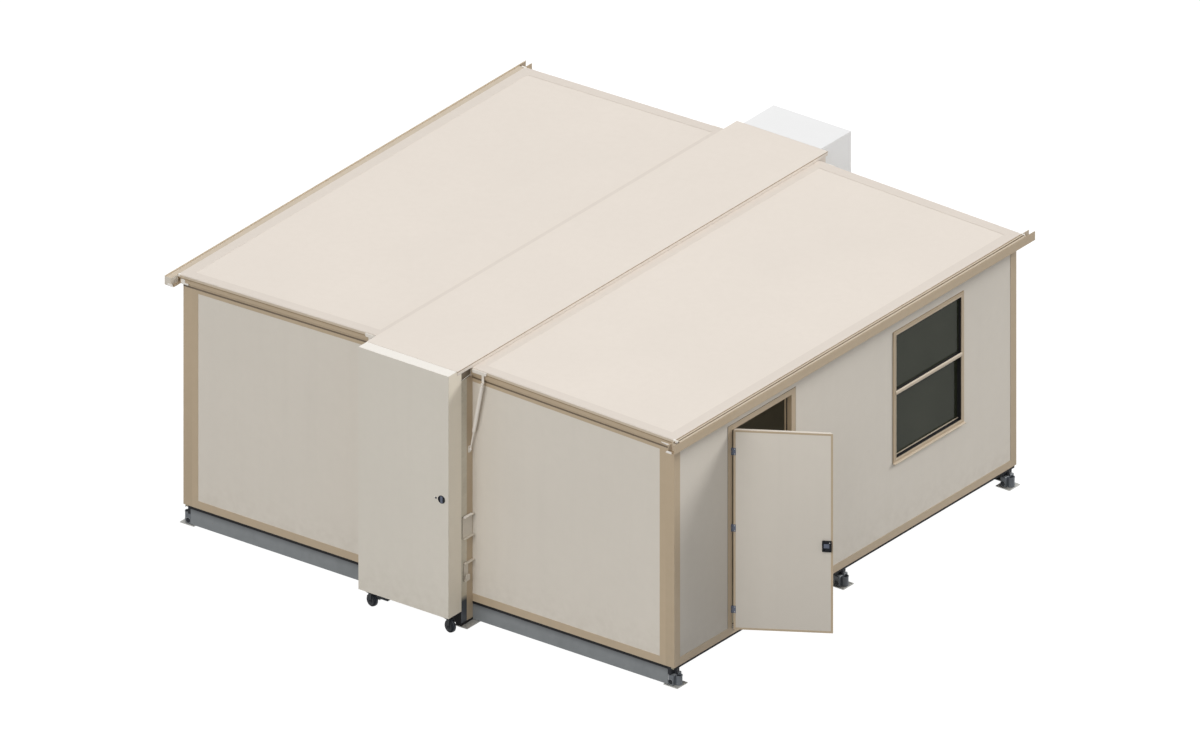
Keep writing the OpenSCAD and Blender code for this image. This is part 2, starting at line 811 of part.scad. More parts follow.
// Fixed halves of the cover's hinges, on the side of the left front post
module cover_hinges() color(steel) for (z = cover_hinge_zs) {
    half = cover_hinge_h / 2;
    post_y = -end_y - core_reach;
    arm_y = cover_pin_y + cover_arm_y;
    for (low = [z - half, z + half / 3]) {
        high = low + cover_hinge_h / 3;
        cover_knuckle(low, high - low);
        box([cover_pin_x - cover_strap_t, arm_y, low], [-core_x, arm_y + cover_arm_t, high]);
    }
    box([-core_x - cover_strap_t, arm_y, z - half], [-core_x, post_y + cover_strap_w, z + half]);
    translate([cover_pin_x, cover_pin_y, z - half])
        cylinder(r = cover_pin_r, h = cover_hinge_h, $fn = round_sides);
}

// Moving halves: a strap on the cover's side and the middle knuckle
module cover_hinge_straps() color(steel) for (z = cover_hinge_zs) {
    half = cover_hinge_h / 2;
    third = half / 3 - hinge_slit;
    strap_x1 = -cover_w / 2;
    strap_x0 = strap_x1 - cover_strap_t;
    difference() {
        union() {
            cover_knuckle(z - third, 2 * third);
            box([strap_x0, cover_y1 - cut, z - third], [strap_x1, cover_pin_y, z + third]);
            box([strap_x0, cover_y1 - cover_strap_w, z - half], [strap_x1, cover_y1, z + half]);
        }
        translate([cover_pin_x, cover_pin_y, z - cover_hinge_h])
            cylinder(r = cover_pin_r + hinge_play, h = 2 * cover_hinge_h, $fn = round_sides);
    }
}

// Lock disc on the cover's front, with its key cap
module cover_lock() color(black) {
    for (spot = cover_lock_spots)
        translate([spot[0], cover_y0, cover_lock_z])
            rotate([90, 0, 0])
                cylinder(r = spot[1], h = spot[2], $fn = round_sides);
}

// --------------------------------------------------------------- casters

// Brings a caster's own frame, with its kingpin on Z, to its corner
module at_caster(side, end) translate([side * kingpin_x, end * kingpin_y, 0])
    rotate([0, 0, trail_angle]) children();

module fork() color(dark_steel) {
    inner = wheel_w / 2 + fork_side_gap;
    crown_z = fork_top_z - swivel_t - fork_crown_t;
    translate([0, 0, fork_top_z - swivel_t]) cylinder(r = swivel_r, h = swivel_t, $fn = round_sides);
    translate([0, 0, fork_top_z - cut]) cylinder(r = kingpin_r, h = kingpin_h + cut, $fn = round_sides);
    box([-swivel_r, -inner - fork_side_t, crown_z],
        [caster_trail + fork_side_w / 2, inner + fork_side_t, crown_z + fork_crown_t + cut]);
    for (side = [-1, 1]) {
        y0 = side < 0 ? -inner - fork_side_t : inner;
        box([caster_trail - fork_side_w / 2, y0, wheel_z],
            [caster_trail + fork_side_w / 2, y0 + fork_side_t, crown_z + cut]);
        translate([caster_trail, y0 + fork_side_t, wheel_z])
            rotate([90, 0, 0])
                cylinder(d = fork_side_w, h = fork_side_t, $fn = round_sides);
    }
    translate([caster_trail, inner + fork_side_t, wheel_z])
        rotate([90, 0, 0])
            cylinder(r = axle_r, h = 2 * (inner + fork_side_t), $fn = round_sides);
}

module wheel() color(black)
    translate([caster_trail, wheel_w / 2, wheel_z])
        rotate([90, 0, 0])
            rotate_extrude($fn = round_sides)
                polygon([[axle_r + axle_play, 0], [wheel_d / 2 - tread_bevel, 0],
                         [wheel_d / 2, tread_bevel], [wheel_d / 2, wheel_w - tread_bevel],
                         [wheel_d / 2 - tread_bevel, wheel_w], [axle_r + axle_play, wheel_w]]);

module front_left_fork() at_caster(-1, -1) fork();
module front_right_fork() at_caster(1, -1) fork();
module back_left_fork() at_caster(-1, 1) fork();
module back_right_fork() at_caster(1, 1) fork();
module front_left_wheel() at_caster(-1, -1) wheel();
module front_right_wheel() at_caster(1, -1) wheel();
module back_left_wheel() at_caster(-1, 1) wheel();
module back_right_wheel() at_caster(1, 1) wheel();

core_floor();
left_floor();
right_floor();
core_chassis();
caster_plates();
cross_beams();
levelling_feet();
foot_plates();
core_base_plates();
core_posts();
core_jambs();
front_bulkhead();
back_bulkhead();
core_roof();
left_roof();
right_roof();
left_gutter();
right_gutter();
corner_posts();
front_left_wall();
front_right_wall();
back_left_wall();
back_right_wall();
end_wall_frames();
right_wall_front();
right_wall_over_door();
right_wall_back();
left_side_wall();
side_wall_rails();
door_frame();
door_leaf();
door_hinges();
door_hinge_straps();
door_lock();
window_frames();
window_glass();
roof_struts();
panel_latches();
air_conditioner();
utility_cover();
cover_hinges();
cover_hinge_straps();
cover_lock();
front_left_fork();
front_right_fork();
back_left_fork();
back_right_fork();
front_left_wheel();
front_right_wheel();
back_left_wheel();
back_right_wheel();
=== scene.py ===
# %% [markdown]
# A folding rigid-wall shelter, set up for use: a narrow core, a wing on each side, shallow roofs
# with gutters, a door, windows and six levelling jacks. The solid shapes come from the packed
# model, loaded as a fixed frame. This lesson paints every one of them, and models what a plain
# solid leaves out: seals, trims, castings, hinges, wheels and grilles.

# %% Load the frame
import json
import math

import bpy
from mathutils import Matrix, Vector


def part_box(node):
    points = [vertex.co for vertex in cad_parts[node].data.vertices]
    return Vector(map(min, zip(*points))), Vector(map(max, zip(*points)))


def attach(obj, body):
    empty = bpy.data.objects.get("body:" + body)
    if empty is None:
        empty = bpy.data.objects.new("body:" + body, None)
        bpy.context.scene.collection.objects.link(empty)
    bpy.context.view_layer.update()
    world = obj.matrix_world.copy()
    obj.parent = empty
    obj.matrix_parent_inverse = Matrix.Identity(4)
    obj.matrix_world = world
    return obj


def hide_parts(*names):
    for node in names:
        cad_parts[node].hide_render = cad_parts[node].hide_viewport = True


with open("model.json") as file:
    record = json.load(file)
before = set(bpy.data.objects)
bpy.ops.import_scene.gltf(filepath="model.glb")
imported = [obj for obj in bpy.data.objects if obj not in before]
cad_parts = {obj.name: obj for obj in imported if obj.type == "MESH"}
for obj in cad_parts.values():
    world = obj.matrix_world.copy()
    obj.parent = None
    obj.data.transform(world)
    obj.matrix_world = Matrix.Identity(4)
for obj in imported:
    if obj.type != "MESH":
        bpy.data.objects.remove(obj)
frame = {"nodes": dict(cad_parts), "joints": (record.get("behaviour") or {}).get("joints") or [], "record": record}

nodes = frame["nodes"]
joints = {joint["name"]: joint for joint in frame["joints"]}
scene = bpy.context.scene
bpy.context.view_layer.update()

# %% [markdown]
# The view. A product sheet usually shows a cabin in a parallel view, where no line runs to a
# vanishing point, so the camera is orthographic: a long lens would come near, but never be exactly
# parallel. It looks down over the front right corner, 37 degrees round and 27 degrees above the
# ground, and stands well back, because it cuts off whatever is behind it.

# %% Camera
right = Vector((0.8, 0.6, 0.0))
up = Vector((-0.26833, 0.35777, 0.89443))
back = right.cross(up)
view_middle = up * 1.18171 + right * 0.001

lens = bpy.data.cameras.new("camera")
lens.type = "ORTHO"
lens.ortho_scale = 11.0294
lens.clip_end = 120
camera = bpy.data.objects.new("camera", lens)
turn = Matrix((right, up, back)).transposed().to_4x4()
camera.matrix_world = Matrix.Translation(view_middle + back * 24) @ turn
scene.collection.objects.link(camera)
scene.camera = camera
scene.view_settings.view_transform = "Standard"
print("camera", [round(math.degrees(a), 2) for a in camera.matrix_world.to_euler()])

# %% [markdown]
# Shader sums. A procedural finish is mostly arithmetic: noise, times a little, plus a colour. Math
# nodes hide that arithmetic, so a small class wraps a socket and gives it the signs + - and *.
# Writing 1 - mask then adds a Subtract node. Colours would turn grey in Math nodes, so a Mix node
# in the finish's own method mixes them.

# %% A value in a shader
class Value:
    def __init__(self, finish, socket):
        self.finish, self.socket = finish, socket

    def sum(self, kind, *values):
        return self.finish.node("ShaderNodeMath", {"operation": kind}, dict(enumerate(values)))

    def __radd__(self, other): return self.sum("ADD", self, other)
    def __sub__(self, other): return self.sum("SUBTRACT", self, other)
    def __rsub__(self, other): return self.sum("SUBTRACT", other, self)
    def __mul__(self, other): return self.sum("MULTIPLY", self, other)
    __rmul__ = __mul__

    def between(self, low, high):
        """0 at low, 1 at high, and a straight ramp between them."""
        return self.finish.node("ShaderNodeMapRange", {}, {0: self, 1: low, 2: high})

finishes = {}

class Finish:
    """One material: a Principled shader and the nodes that feed it."""
    def __init__(self, name, colour, roughness, **fixed):
        finishes[name] = self
        self.material = bpy.data.materials.new(name)
        self.material.use_nodes = True
        self.tree = self.material.node_tree
        self.shader = self.tree.nodes["Principled BSDF"]
        self.colour = (*colour, 1.0)
        self.shader.inputs["Base Color"].default_value = self.colour
        self.shader.inputs["Roughness"].default_value = roughness
        for socket, value in fixed.items():
            self.shader.inputs[socket.replace("_", " ")].default_value = value
        self.place = self.node("ShaderNodeTexCoord", out="Object")
        self.z = self.node("ShaderNodeSeparateXYZ", {}, {0: self.place}, out="Z")

    def node(self, kind, settings=None, inputs=None, out=0):
        made = self.tree.nodes.new(kind)
        for name, value in (settings or {}).items():
            setattr(made, name, value)
        for name, value in (inputs or {}).items():
            self.feed(made.inputs[name], value)
        return Value(self, made.outputs[out])

    def feed(self, socket, value):
        if isinstance(value, Value):
            self.tree.links.new(value.socket, socket)
        else:
            socket.default_value = value

    def noise(self, scale, detail, stretch=None):
        place = self.place
        if stretch:
            place = self.node("ShaderNodeMapping", {}, {0: place, 3: stretch})
        return self.node("ShaderNodeTexNoise", {}, {"Vector": place, "Scale": scale, "Detail": detail})

    def mix(self, mask, first, second):
        return self.node("ShaderNodeMix", {"data_type": "RGBA"}, {0: mask, 6: first, 7: second}, out=2)

    def set(self, socket, value):
        self.feed(self.shader.inputs[socket], value)

    def bump(self, height, strength, distance):
        self.set("Normal", self.node("ShaderNodeBump", {}, {"Strength": strength,
                                                            "Distance": distance, "Height": height}))

def shade(colour, factor):
    """A colour made darker or lighter by a factor, with its alpha kept."""
    return tuple(channel * factor for channel in colour[:3]) + (1.0,)

print("shader sums ready")

# %% [markdown]
# Painted panels. Walls, roofs and cover are flat sheets with a stoved paint, and three things keep
# them from looking like card: a very faint cloudiness metres across, a finer mottle from dust and
# rain, and the orange-peel texture of sprayed paint, which is bump and not colour. Near the ground
# a wall collects dust and rain leaves faint runs. Round the doorway and on the corner posts the
# paint is darkened towards the foot and thins out upwards: painted shade for the open door's shadow
# and the dimmer light low down. Posts, rails, frames and gutters are folded metal in a satin tan.
# They use the same maker, with more dust and stronger runs.

# %% Painted sheet
SPLASH_Z, FOOT_SHADE_Z = (0.18, 0.75), (0.3, 2.2)
DUST = (0.42, 0.36, 0.28, 1.0)

def painted(name, colour, roughness, cloud, peel, splash=0.0, streak=0.0, foot_shade=0.0):
    finish = Finish(name, colour, roughness)
    clouds = finish.noise(0.9, 4).between(0.3, 0.7)
    mottle = finish.noise(14.0, 5).between(0.35, 0.75)
    base = finish.mix(clouds, shade(finish.colour, 1 - cloud / 2), shade(finish.colour, 1 + cloud / 2))
    base = finish.mix(mottle * 0.35, base, shade(finish.colour, 1 - cloud))
    if streak:
        runs = finish.noise(7.0, 4, (1.0, 1.0, 0.06)).between(0.5, 0.8)
        base = finish.mix(runs * streak, base, shade(finish.colour, 0.8))
    if splash:
        low = 1 - finish.z.between(*SPLASH_Z)
        base = finish.mix(low * low * mottle * splash, base, DUST)
    # Painted shade: the colour darkens towards the foot and thins out upwards.
    if foot_shade:
        base = finish.mix((1 - finish.z.between(*FOOT_SHADE_Z)) * foot_shade, base, shade(finish.colour, 0.6))
    finish.set("Base Color", base)
    finish.set("Roughness", roughness + 0.12 * (mottle - 0.5))
    finish.bump(finish.noise(260.0, 2), peel, 0.0006)

def trim(name, colour, foot_shade=0.0):
    painted(name, colour, 0.45, 0.06, 0.15, splash=0.3, streak=0.12, foot_shade=foot_shade)

painted("roof_skin", (0.765, 0.695, 0.622), 0.6, 0.03, 0.3)
painted("wall_panel", (0.70, 0.648, 0.57), 0.5, 0.03, 0.2, splash=0.25, streak=0.10)
# The doorway wall, the door leaf and the corner posts carry painted shade towards their foot.
painted("entry_wall", (0.70, 0.648, 0.57), 0.5, 0.03, 0.2, splash=0.25, foot_shade=0.55)
painted("leaf_skin", (0.72, 0.666, 0.586), 0.5, 0.03, 0.2, streak=0.10, foot_shade=0.4)
painted("cover_skin", (0.70, 0.655, 0.575), 0.5, 0.03, 0.2, splash=0.2, streak=0.08)
# A paler copy of the cover paint for its sides: a painted highlight.
painted("cover_side", (0.85, 0.78, 0.655), 0.5, 0.03, 0.2, streak=0.08)
painted("white_cabinet", (0.84, 0.84, 0.84), 0.42, 0.02, 0.2, streak=0.05)
trim("tan_trim", (0.49, 0.385, 0.262))
trim("post_trim", (0.50, 0.393, 0.267), foot_shade=0.25)
print("painted", sorted(finishes))

# %% [markdown]
# More paints. The edge flashing is slightly greyer than the roof. Beads and glazing strips use a
# paler tan, which is also a painted highlight on lit edges of the trim and in the gutters. A deep
# tan colours sealant and beads and is painted shade in folds and grooves, a dark tan is painted
# shade under the roof edges, and a dull brown closes seams and is painted shade under the roof cap.
# Caps are white, and small fittings cream.

# %% More paints
painted("roof_edge", (0.705, 0.635, 0.565), 0.55, 0.03, 0.25)
trim("pale_trim", (0.58, 0.49, 0.375))
trim("deep_trim", (0.30, 0.215, 0.125))
# Painted shade under the roof edges.
trim("joint_dark", (0.14, 0.103, 0.066))
# Also painted shade under the roof cap.
painted("closure", (0.185, 0.150, 0.108), 0.8, 0.1, 0.3)
painted("white_cap", (0.86, 0.82, 0.76), 0.4, 0.02, 0.1)
painted("cream_metal", (0.66, 0.605, 0.52), 0.42, 0.05, 0.15, streak=0.1)
painted("strut_cream", (0.80, 0.75, 0.68), 0.4, 0.03, 0.1, streak=0.05)
print(len(finishes), "paints")

# %% [markdown]
# Steel and rubber. Galvanising leaves pale crystals, each a few centimetres across, which a Voronoi
# texture draws well. The beams are painted blue-grey over rough steel, with small pits and a little
# rust, and they darken upwards towards the wall rails: painted shade for the shadow under the floor.
# The channel posts go dark towards their feet: a painted reflection of the dark ground in their
# steel. Seals are matt black, hinges blue-grey, and castings a dark grey.

# %% Steel finishes
RUST = (0.16, 0.07, 0.035, 1.0)
PAINTED_REFLECTION = (0.075, 0.082, 0.095, 1.0)
TOP_SHADE = (0.012, 0.014, 0.017, 1.0)

def steel(name, colour, metallic, roughness, crystals=0.0, rust=0.0, dark_reflection_z=None, top_shade_z=None, gloss=0.5):
    finish = Finish(name, colour, roughness, Metallic=metallic, Specular_IOR_Level=gloss)
    stains = finish.noise(9.0, 6).between(0.4, 0.75)
    base = finish.mix(stains * 0.5, finish.colour, shade(finish.colour, 0.8))
    if crystals:
        cells = finish.node("ShaderNodeTexVoronoi", {}, {"Vector": finish.place, "Scale": 42.0}, out="Color")
        grey = finish.node("ShaderNodeSeparateColor", {}, {0: cells})
        base = finish.mix(grey * crystals, base, shade(finish.colour, 1.25))
        finish.set("Roughness", roughness + 0.16 * (grey - 0.5))
    else:
        finish.set("Roughness", roughness + 0.2 * (stains - 0.5))
    if rust:
        spots = finish.noise(60.0, 6).between(0.66, 0.76)
        base = finish.mix(spots * rust, base, RUST)
    # Painted reflection: dark towards the foot, for the dark ground mirrored in the steel.
    if dark_reflection_z:
        base = finish.mix(1 - finish.z.between(*dark_reflection_z), base, PAINTED_REFLECTION)
    # Painted shade: darker towards the top, under the wall rail.
    if top_shade_z:
        high = finish.z.between(*top_shade_z)
        base = finish.mix(high * high * 0.85, base, TOP_SHADE)
    finish.set("Base Color", base)
    finish.bump(finish.noise(180.0, 4), 0.3, 0.0008)

steel("galvanised", (0.49, 0.485, 0.455), 0.35, 0.45, crystals=0.5)
# The posts' dark feet are a painted reflection.
steel("post_steel", (0.60, 0.56, 0.47), 0.35, 0.42, crystals=0.3, dark_reflection_z=(0.25, 0.31))
# The beams darken towards their top: painted shade under the rails.
steel("beam_paint", (0.212, 0.226, 0.234), 0.0, 0.5, rust=0.5, top_shade_z=(0.10, 0.185))
steel("chassis_paint", (0.015, 0.017, 0.021), 0.0, 0.5, rust=0.15, gloss=0.2)
steel("casting", (0.125, 0.138, 0.155), 0.0, 0.45, rust=0.3)
steel("bright_steel", (0.62, 0.62, 0.60), 0.5, 0.35, crystals=0.2)
steel("hinge_coat", (0.125, 0.142, 0.192), 0.1, 0.42, gloss=0.3)
steel("black_fitting", (0.009, 0.010, 0.013), 0.0, 0.5, gloss=0.16)
steel("seal_rubber", (0.012, 0.012, 0.013), 0.0, 0.7, gloss=0.2)
steel("caster_tyre", (0.015, 0.018, 0.022), 0.0, 0.62, gloss=0.15)
steel("tread_band", (0.040, 0.045, 0.058), 0.0, 0.5, gloss=0.3)
print("steel and rubber ready")

# %% [markdown]
# Glass and the deck. The panes are tinted, so little of the dark room shows. Real transmission
# would slow every render to show almost nothing, so a pane is a dark glossy surface that lets a
# fixed share of the view through, with a faint ripple from the rolled glass. The deck is a hard-
# wearing vinyl with a fleck.

# %% Glass and deck
glass = Finish("dark_glass", (0.03, 0.033, 0.024), 0.07, Alpha=0.85, Specular_IOR_Level=0.16)
haze = glass.noise(2.2, 3).between(0.35, 0.7)
glass.set("Roughness", 0.05 + 0.05 * haze)
glass.set("Base Color", glass.mix(haze, (0.030, 0.035, 0.020, 1.0), (0.042, 0.047, 0.030, 1.0)))
glass.bump(glass.noise(3.0, 1), 0.04, 0.01)

deck = Finish("floor_deck", (0.30, 0.28, 0.21), 0.5)
fleck = deck.noise(320.0, 2).between(0.55, 0.7)
deck.set("Base Color", deck.mix(fleck, (0.29, 0.27, 0.20, 1.0), (0.38, 0.35, 0.27, 1.0)))
deck.set("Roughness", 0.45 + 0.2 * deck.noise(6.0, 4))
deck.bump(fleck, 0.2, 0.0005)
print("glass and deck ready,", len(finishes), "finishes in all")

# %% [markdown]
# Painting the frame. The record gives each shape a material slot, and each slot a finish here, so
# one loop paints them all. A few shapes differ from the rest of their slot: the core's posts, with a
# painted dark reflection towards their feet, what stands at the door and the corners, with painted
# shade towards their foot, and the hinges.

# %% Paint the shapes
slot_of = {part["node"]: part["material_slot"] for part in frame["record"]["subparts"]}
special = {"core_posts": "post_steel", "right_wall_front": "entry_wall", "door_leaf": "leaf_skin",
           "corner_posts": "post_trim", "door_hinges": "hinge_coat", "door_hinge_straps": "hinge_coat"}
for name, shape in nodes.items():
    shape.data.materials.clear()
    shape.data.materials.append(finishes[special.get(name, slot_of[name])].material)
print("painted", len(nodes), "shapes")

# %% [markdown]
# Modelling steps. Every small part starts as a primitive and is worked like a modeller would work
# it: extruded, inset, bevelled, turned or copied. One helper opens edit mode with the faces or
# edges picked by where they are and which way they face, because code has no mouse. Others inset a
# face step by step, cut off edges, or move them. One spins up a round part from a circle, and one
# makes a flat frame from a plane. The last ones hand a finished piece to the body that it moves
# with.

# %% Modelling helpers
def only(*pieces):
    """Object mode, with just these selected."""
    if bpy.context.mode != "OBJECT":
        bpy.ops.object.mode_set(mode="OBJECT")
    bpy.ops.object.select_all(action="DESELECT")
    for piece in pieces:
        piece.select_set(True)
        bpy.context.view_layer.objects.active = pieces[0]

def settle(piece):
    """Writes a piece's place, turn and size into its mesh, with its faces outwards."""
    only(piece)
    bpy.ops.object.transform_apply(location=True, rotation=True, scale=True)
    bpy.ops.object.mode_set(mode="EDIT")
    bpy.ops.mesh.select_all(action="SELECT")
    bpy.ops.mesh.normals_make_consistent(inside=False)
    only(piece)
    return piece

def start(kind, scale=(1, 1, 1), **options):
    """A primitive, its size and place written into its mesh."""
    only()
    getattr(bpy.ops.mesh, f"primitive_{kind}_add")(**options)
    piece = bpy.context.object
    piece.scale = scale
    return settle(piece)

def block(low, high):
    low, high = Vector(low), Vector(high)
    return start("cube", high - low, size=1, location=(low + high) / 2)

def modify(piece, kind, **settings):
    only(piece)
    modifier = piece.modifiers.new(kind.lower(), kind)
    for name, value in settings.items():
        setattr(modifier, name, value)
    bpy.ops.object.modifier_apply(modifier=modifier.name)
    return piece

def soften(piece, width, segments=2):
    """Rounds every edge that is sharper than 35 degrees."""
    return modify(piece, "BEVEL", width=width, segments=segments, limit_method="ANGLE",
                  angle_limit=math.radians(35))

def edit(piece, test=None, kind="FACE"):
    """Edit mode, with the faces or edges picked whose place and direction pass a test."""
    only(piece)
    mesh = piece.data
    for items in (mesh.vertices, mesh.edges, mesh.polygons):
        items.foreach_set("select", [False] * len(items))
    if kind == "FACE":
        for face in mesh.polygons:
            face.select = not test or test(face.center, face.normal)
    else:
        for edge in mesh.edges:
            first, last = (mesh.vertices[i].co for i in edge.vertices)
            edge.select = test((first + last) / 2, (last - first).normalized())
    bpy.context.tool_settings.mesh_select_mode = (False, kind == "EDGE", kind == "FACE")
    bpy.ops.object.mode_set(mode="EDIT")

def push(*value):
    bpy.ops.transform.translate(value=value)

def extrude(*value):
    bpy.ops.mesh.extrude_region_move(TRANSFORM_OT_translate={"value": value})

WAYS = {sign + axis: Vector([float(sign + "1") * (axis == other) for other in "XYZ"])
        for sign in "+-" for axis in "XYZ"}

def looking(way):
    """A test for faces that look one way, such as +X."""
    return lambda place, normal: normal.dot(WAYS[way]) > 0.9

def stepped(piece, way, *steps, move=extrude):
    """Insets the face that looks one way, and moves its middle out or in, step by step."""
    edit(piece, looking(way))
    for width, depth in steps:
        bpy.ops.mesh.inset(thickness=width)
        move(*(WAYS[way] * depth))
    only(piece)
    return piece

def edit_edges(piece, axis, where):
    """Edit mode, with the edges picked that run along an axis, or any, at some places."""
    edit(piece, lambda place, along: (not axis or abs(along.dot(WAYS["+" + axis])) > 0.9)
         and (not where or where(place)), "EDGE")

def cut_edges(piece, axis, width, segments=1, where=None):
    edit_edges(piece, axis, where)
    bpy.ops.mesh.bevel(offset=width, segments=segments)
    only(piece)
    return piece

def draw_edges(piece, axis, move, where):
    edit_edges(piece, axis, where)
    push(*move)
    only(piece)
    return piece

def aim(piece, place, axis):
    """Puts a piece modelled round the Z axis at a place, along another axis."""
    piece.rotation_mode = "QUATERNION"
    piece.rotation_quaternion = Vector(axis).to_track_quat("Z", "Y")
    piece.location = place
    return settle(piece)

def turned(profile, place, axis, sides):
    """A round part from its radius and height at each step, along a vector or one of the WAYS."""
    (radius, height), *steps = profile
    piece = start("circle", vertices=sides, radius=radius, fill_type="NGON",
                  location=(0, 0, height))
    edit(piece)
    for wider, higher in steps:
        extrude(0, 0, higher - height)
        share = wider / radius
        bpy.ops.transform.resize(value=(share, share, 1), center_override=(0, 0, higher))
        radius, height = wider, higher
    only(piece)
    return aim(piece, place, WAYS[axis] if isinstance(axis, str) else axis)

FACING = {"X": Matrix(((0, 0, 1), (1, 0, 0), (0, 1, 0))),
          "Y": Matrix(((0, 1, 0), (0, 0, 1), (1, 0, 0))), "Z": Matrix.Identity(3)}

def ring(low, high, width, facing="X"):
    """A flat frame between two corners: a plane, inset, its middle out, its rim raised."""
    low, high, turn = Vector(low), Vector(high), FACING[facing]
    size = turn.transposed() @ (high - low)
    piece = start("plane", (size.x, size.y, 1), size=1, location=(0, 0, -size.z / 2))
    edit(piece)
    bpy.ops.mesh.inset(thickness=width)
    bpy.ops.mesh.delete(type="FACE")
    bpy.ops.mesh.select_all(action="SELECT")
    extrude(0, 0, size.z)
    only(piece)
    piece.matrix_world = Matrix.Translation((low + high) / 2) @ turn.to_4x4()
    return settle(piece)

def again(piece, move=(0, 0, 0), flip=(1, 1, 1)):
    """A copy with a mesh of its own, moved, or mirrored in the model's middle planes."""
    only(piece)
    bpy.ops.object.duplicate(linked=False)
    copy = bpy.context.object
    copy.location, copy.scale = move, flip
    return settle(copy)

def both_sides(piece):
    return [piece, again(piece, flip=(-1, 1, 1))]

def both_ends(piece):
    return [piece, again(piece, flip=(1, -1, 1))]

def four_corners(piece):
    return [copy for half in both_sides(piece) for copy in both_ends(half)]

def joined(parts):
    """One piece from a list of parts, or from a single part."""
    pieces = parts if isinstance(parts, list) else [parts]
    only(*pieces)
    if len(pieces) > 1:
        bpy.ops.object.join()
    return pieces[0]

def hand_over(name, parts, finish, slot, *replaced, body="shelter"):
    """Joins parts, names, smooths and paints the piece, and lets it ride on a body."""
    piece = joined(parts)
    piece.name = name
    bpy.ops.object.shade_smooth_by_angle(angle=math.radians(40))
    modify(piece, "WEIGHTED_NORMAL", keep_sharp=True)
    piece.data.materials.clear()
    piece.data.materials.append(finishes[finish].material)
    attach(piece, body)
    if replaced:
        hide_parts(*replaced)
    print(piece.name, len(piece.data.polygons), "faces, rides on", body)

def sides_over(name, parts, finish, slot):
    """Mirrors a piece of the right wing, and hands over both under their side's name."""
    for side, half in zip(("right_", "left_"), both_sides(joined(parts))):
        hand_over(side + name, half, finish, slot)

print("modelling helpers ready")

# %% [markdown]
# Roof flashings. Each wing's roof sheet is held down by a band of flashing about a hand wide, which
# runs round all four edges and is a little narrower beside the core. It could be a change of
# colour, but a real strip has an edge that catches light. So it is a plane the size of the roof,
# inset to the band's width, its middle deleted, the rest raised by a sheet's thickness and turned
# to the roof's slope. The other wing gets a mirrored copy.

# %% Roof flashings
SLOPE, EAVE_X, ROOF_Y = 0.022, 2.8518, 2.6548

def roof_z(x):
    """Height of a wing's roof skin at a distance from the middle."""
    return 2.566 + (2.82 - x) * SLOPE

band, band_t, inner_x = 0.115, 0.0018, 0.5245
length = (EAVE_X - inner_x) * math.hypot(1, SLOPE)
flashing = ring((0, -ROOF_Y, 0), (length, ROOF_Y, band_t), band, "Z")
draw_edges(flashing, None, (-0.024, 0, 0), lambda place: abs(place.x - band) < 0.001)
flashing.location = (inner_x, 0, roof_z(inner_x) + 0.0003)
flashing.rotation_euler = (0, math.atan(SLOPE), 0)
sides_over("roof_flashing", soften(settle(flashing), 0.0007, 1), "roof_edge", "roof_skin")

# %% [markdown]
# Gable trims. Where the roof panel ends over a gable it shows a pale lip and a tan fascia that
# stands back a little. Two dark strips are painted shade: one along the lip's foot for the shadow
# under the lip, and one on the wall rail for the shadow under the roof edge. A strip there has to
# follow the slope, so it is a level block whose inner end is lifted in edit mode. Each is made at
# the front right and mirrored to the other three gables.

# %% Gable trims
def sloping(xs, ys, drops):
    """A strip along the slope, between two depths under the roof skin."""
    eave_z = roof_z(xs[1])
    strip = block((xs[0], ys[0], eave_z - drops[0]), (xs[1], ys[1], eave_z - drops[1]))
    draw_edges(strip, None, (0, 0, (xs[1] - xs[0]) * SLOPE), lambda place: place.x < xs[0] + 0.0001)
    return soften(strip, 0.0004, 1)

# The last two strips are dark: painted shade under the lip and under the roof edge.
for name, finish, xs, ys, drops in (
        ("gable_lips", "pale_trim", (0.5015, 2.8526), (-2.6568, -2.6546), (0.035, 0.005)),
        ("gable_fascias", "tan_trim", (0.5015, 2.8395), (-2.644, -2.6416), (0.08, 0.041)),
        ("gable_folds", "deep_trim", (0.5245, 2.8528), (-2.6576, -2.654), (0.035, 0.0255)),
        ("gable_seals", "joint_dark", (0.5015, 2.819), (-2.6224, -2.619), (0.1255, 0.1095))):
    hand_over(name, four_corners(sloping(xs, ys, drops)), finish, "tan_trim")

# %% [markdown]
# Roof corners. A folded plate, its two inner sides inset, closes each outer corner of the flashing,
# and a clip with one corner cut off holds the end of the gutter. On the right wing a wedge closes
# the end of the fascia: a block with the lower edge of its inner end drawn up. On the left wing a
# hook does, a stem with a toe. All are painted white.

# %% Roof corners
corner = block((2.833, -2.6575, roof_z(2.85) - 0.02), (2.854, -2.6365, roof_z(2.85) + 0.0032))
edit(corner, lambda place, normal: normal.x < -0.9 or normal.y > 0.9)
bpy.ops.mesh.inset(thickness=0.002)
extrude(0, 0, 0)
wedge = block((2.69, -2.649, 2.481), (2.812, -2.6415, 2.504))
draw_edges(wedge, "Y", (0, 0, 0.016), lambda place: place.x < 2.7 and place.z < 2.49)
clip = block((2.831, -2.7658, 2.479), (2.896, -2.7625, 2.503))
cut_edges(clip, "Y", 0.014, 1, lambda place: place.x < 2.84 and place.z > 2.49)
hook = [block((-2.828, -2.649, 2.478), (-2.782, -2.6415, 2.526)),
        block((-2.828, -2.65, 2.475), (-2.744, -2.6415, 2.492))]
caps = four_corners(soften(corner, 0.0015)) + four_corners(soften(clip, 0.0006, 1))
for part in (wedge, *hook):
    caps += both_ends(soften(part, 0.001, 1))
hand_over("roof_corner_caps", caps, "white_cap", "roof_skin")

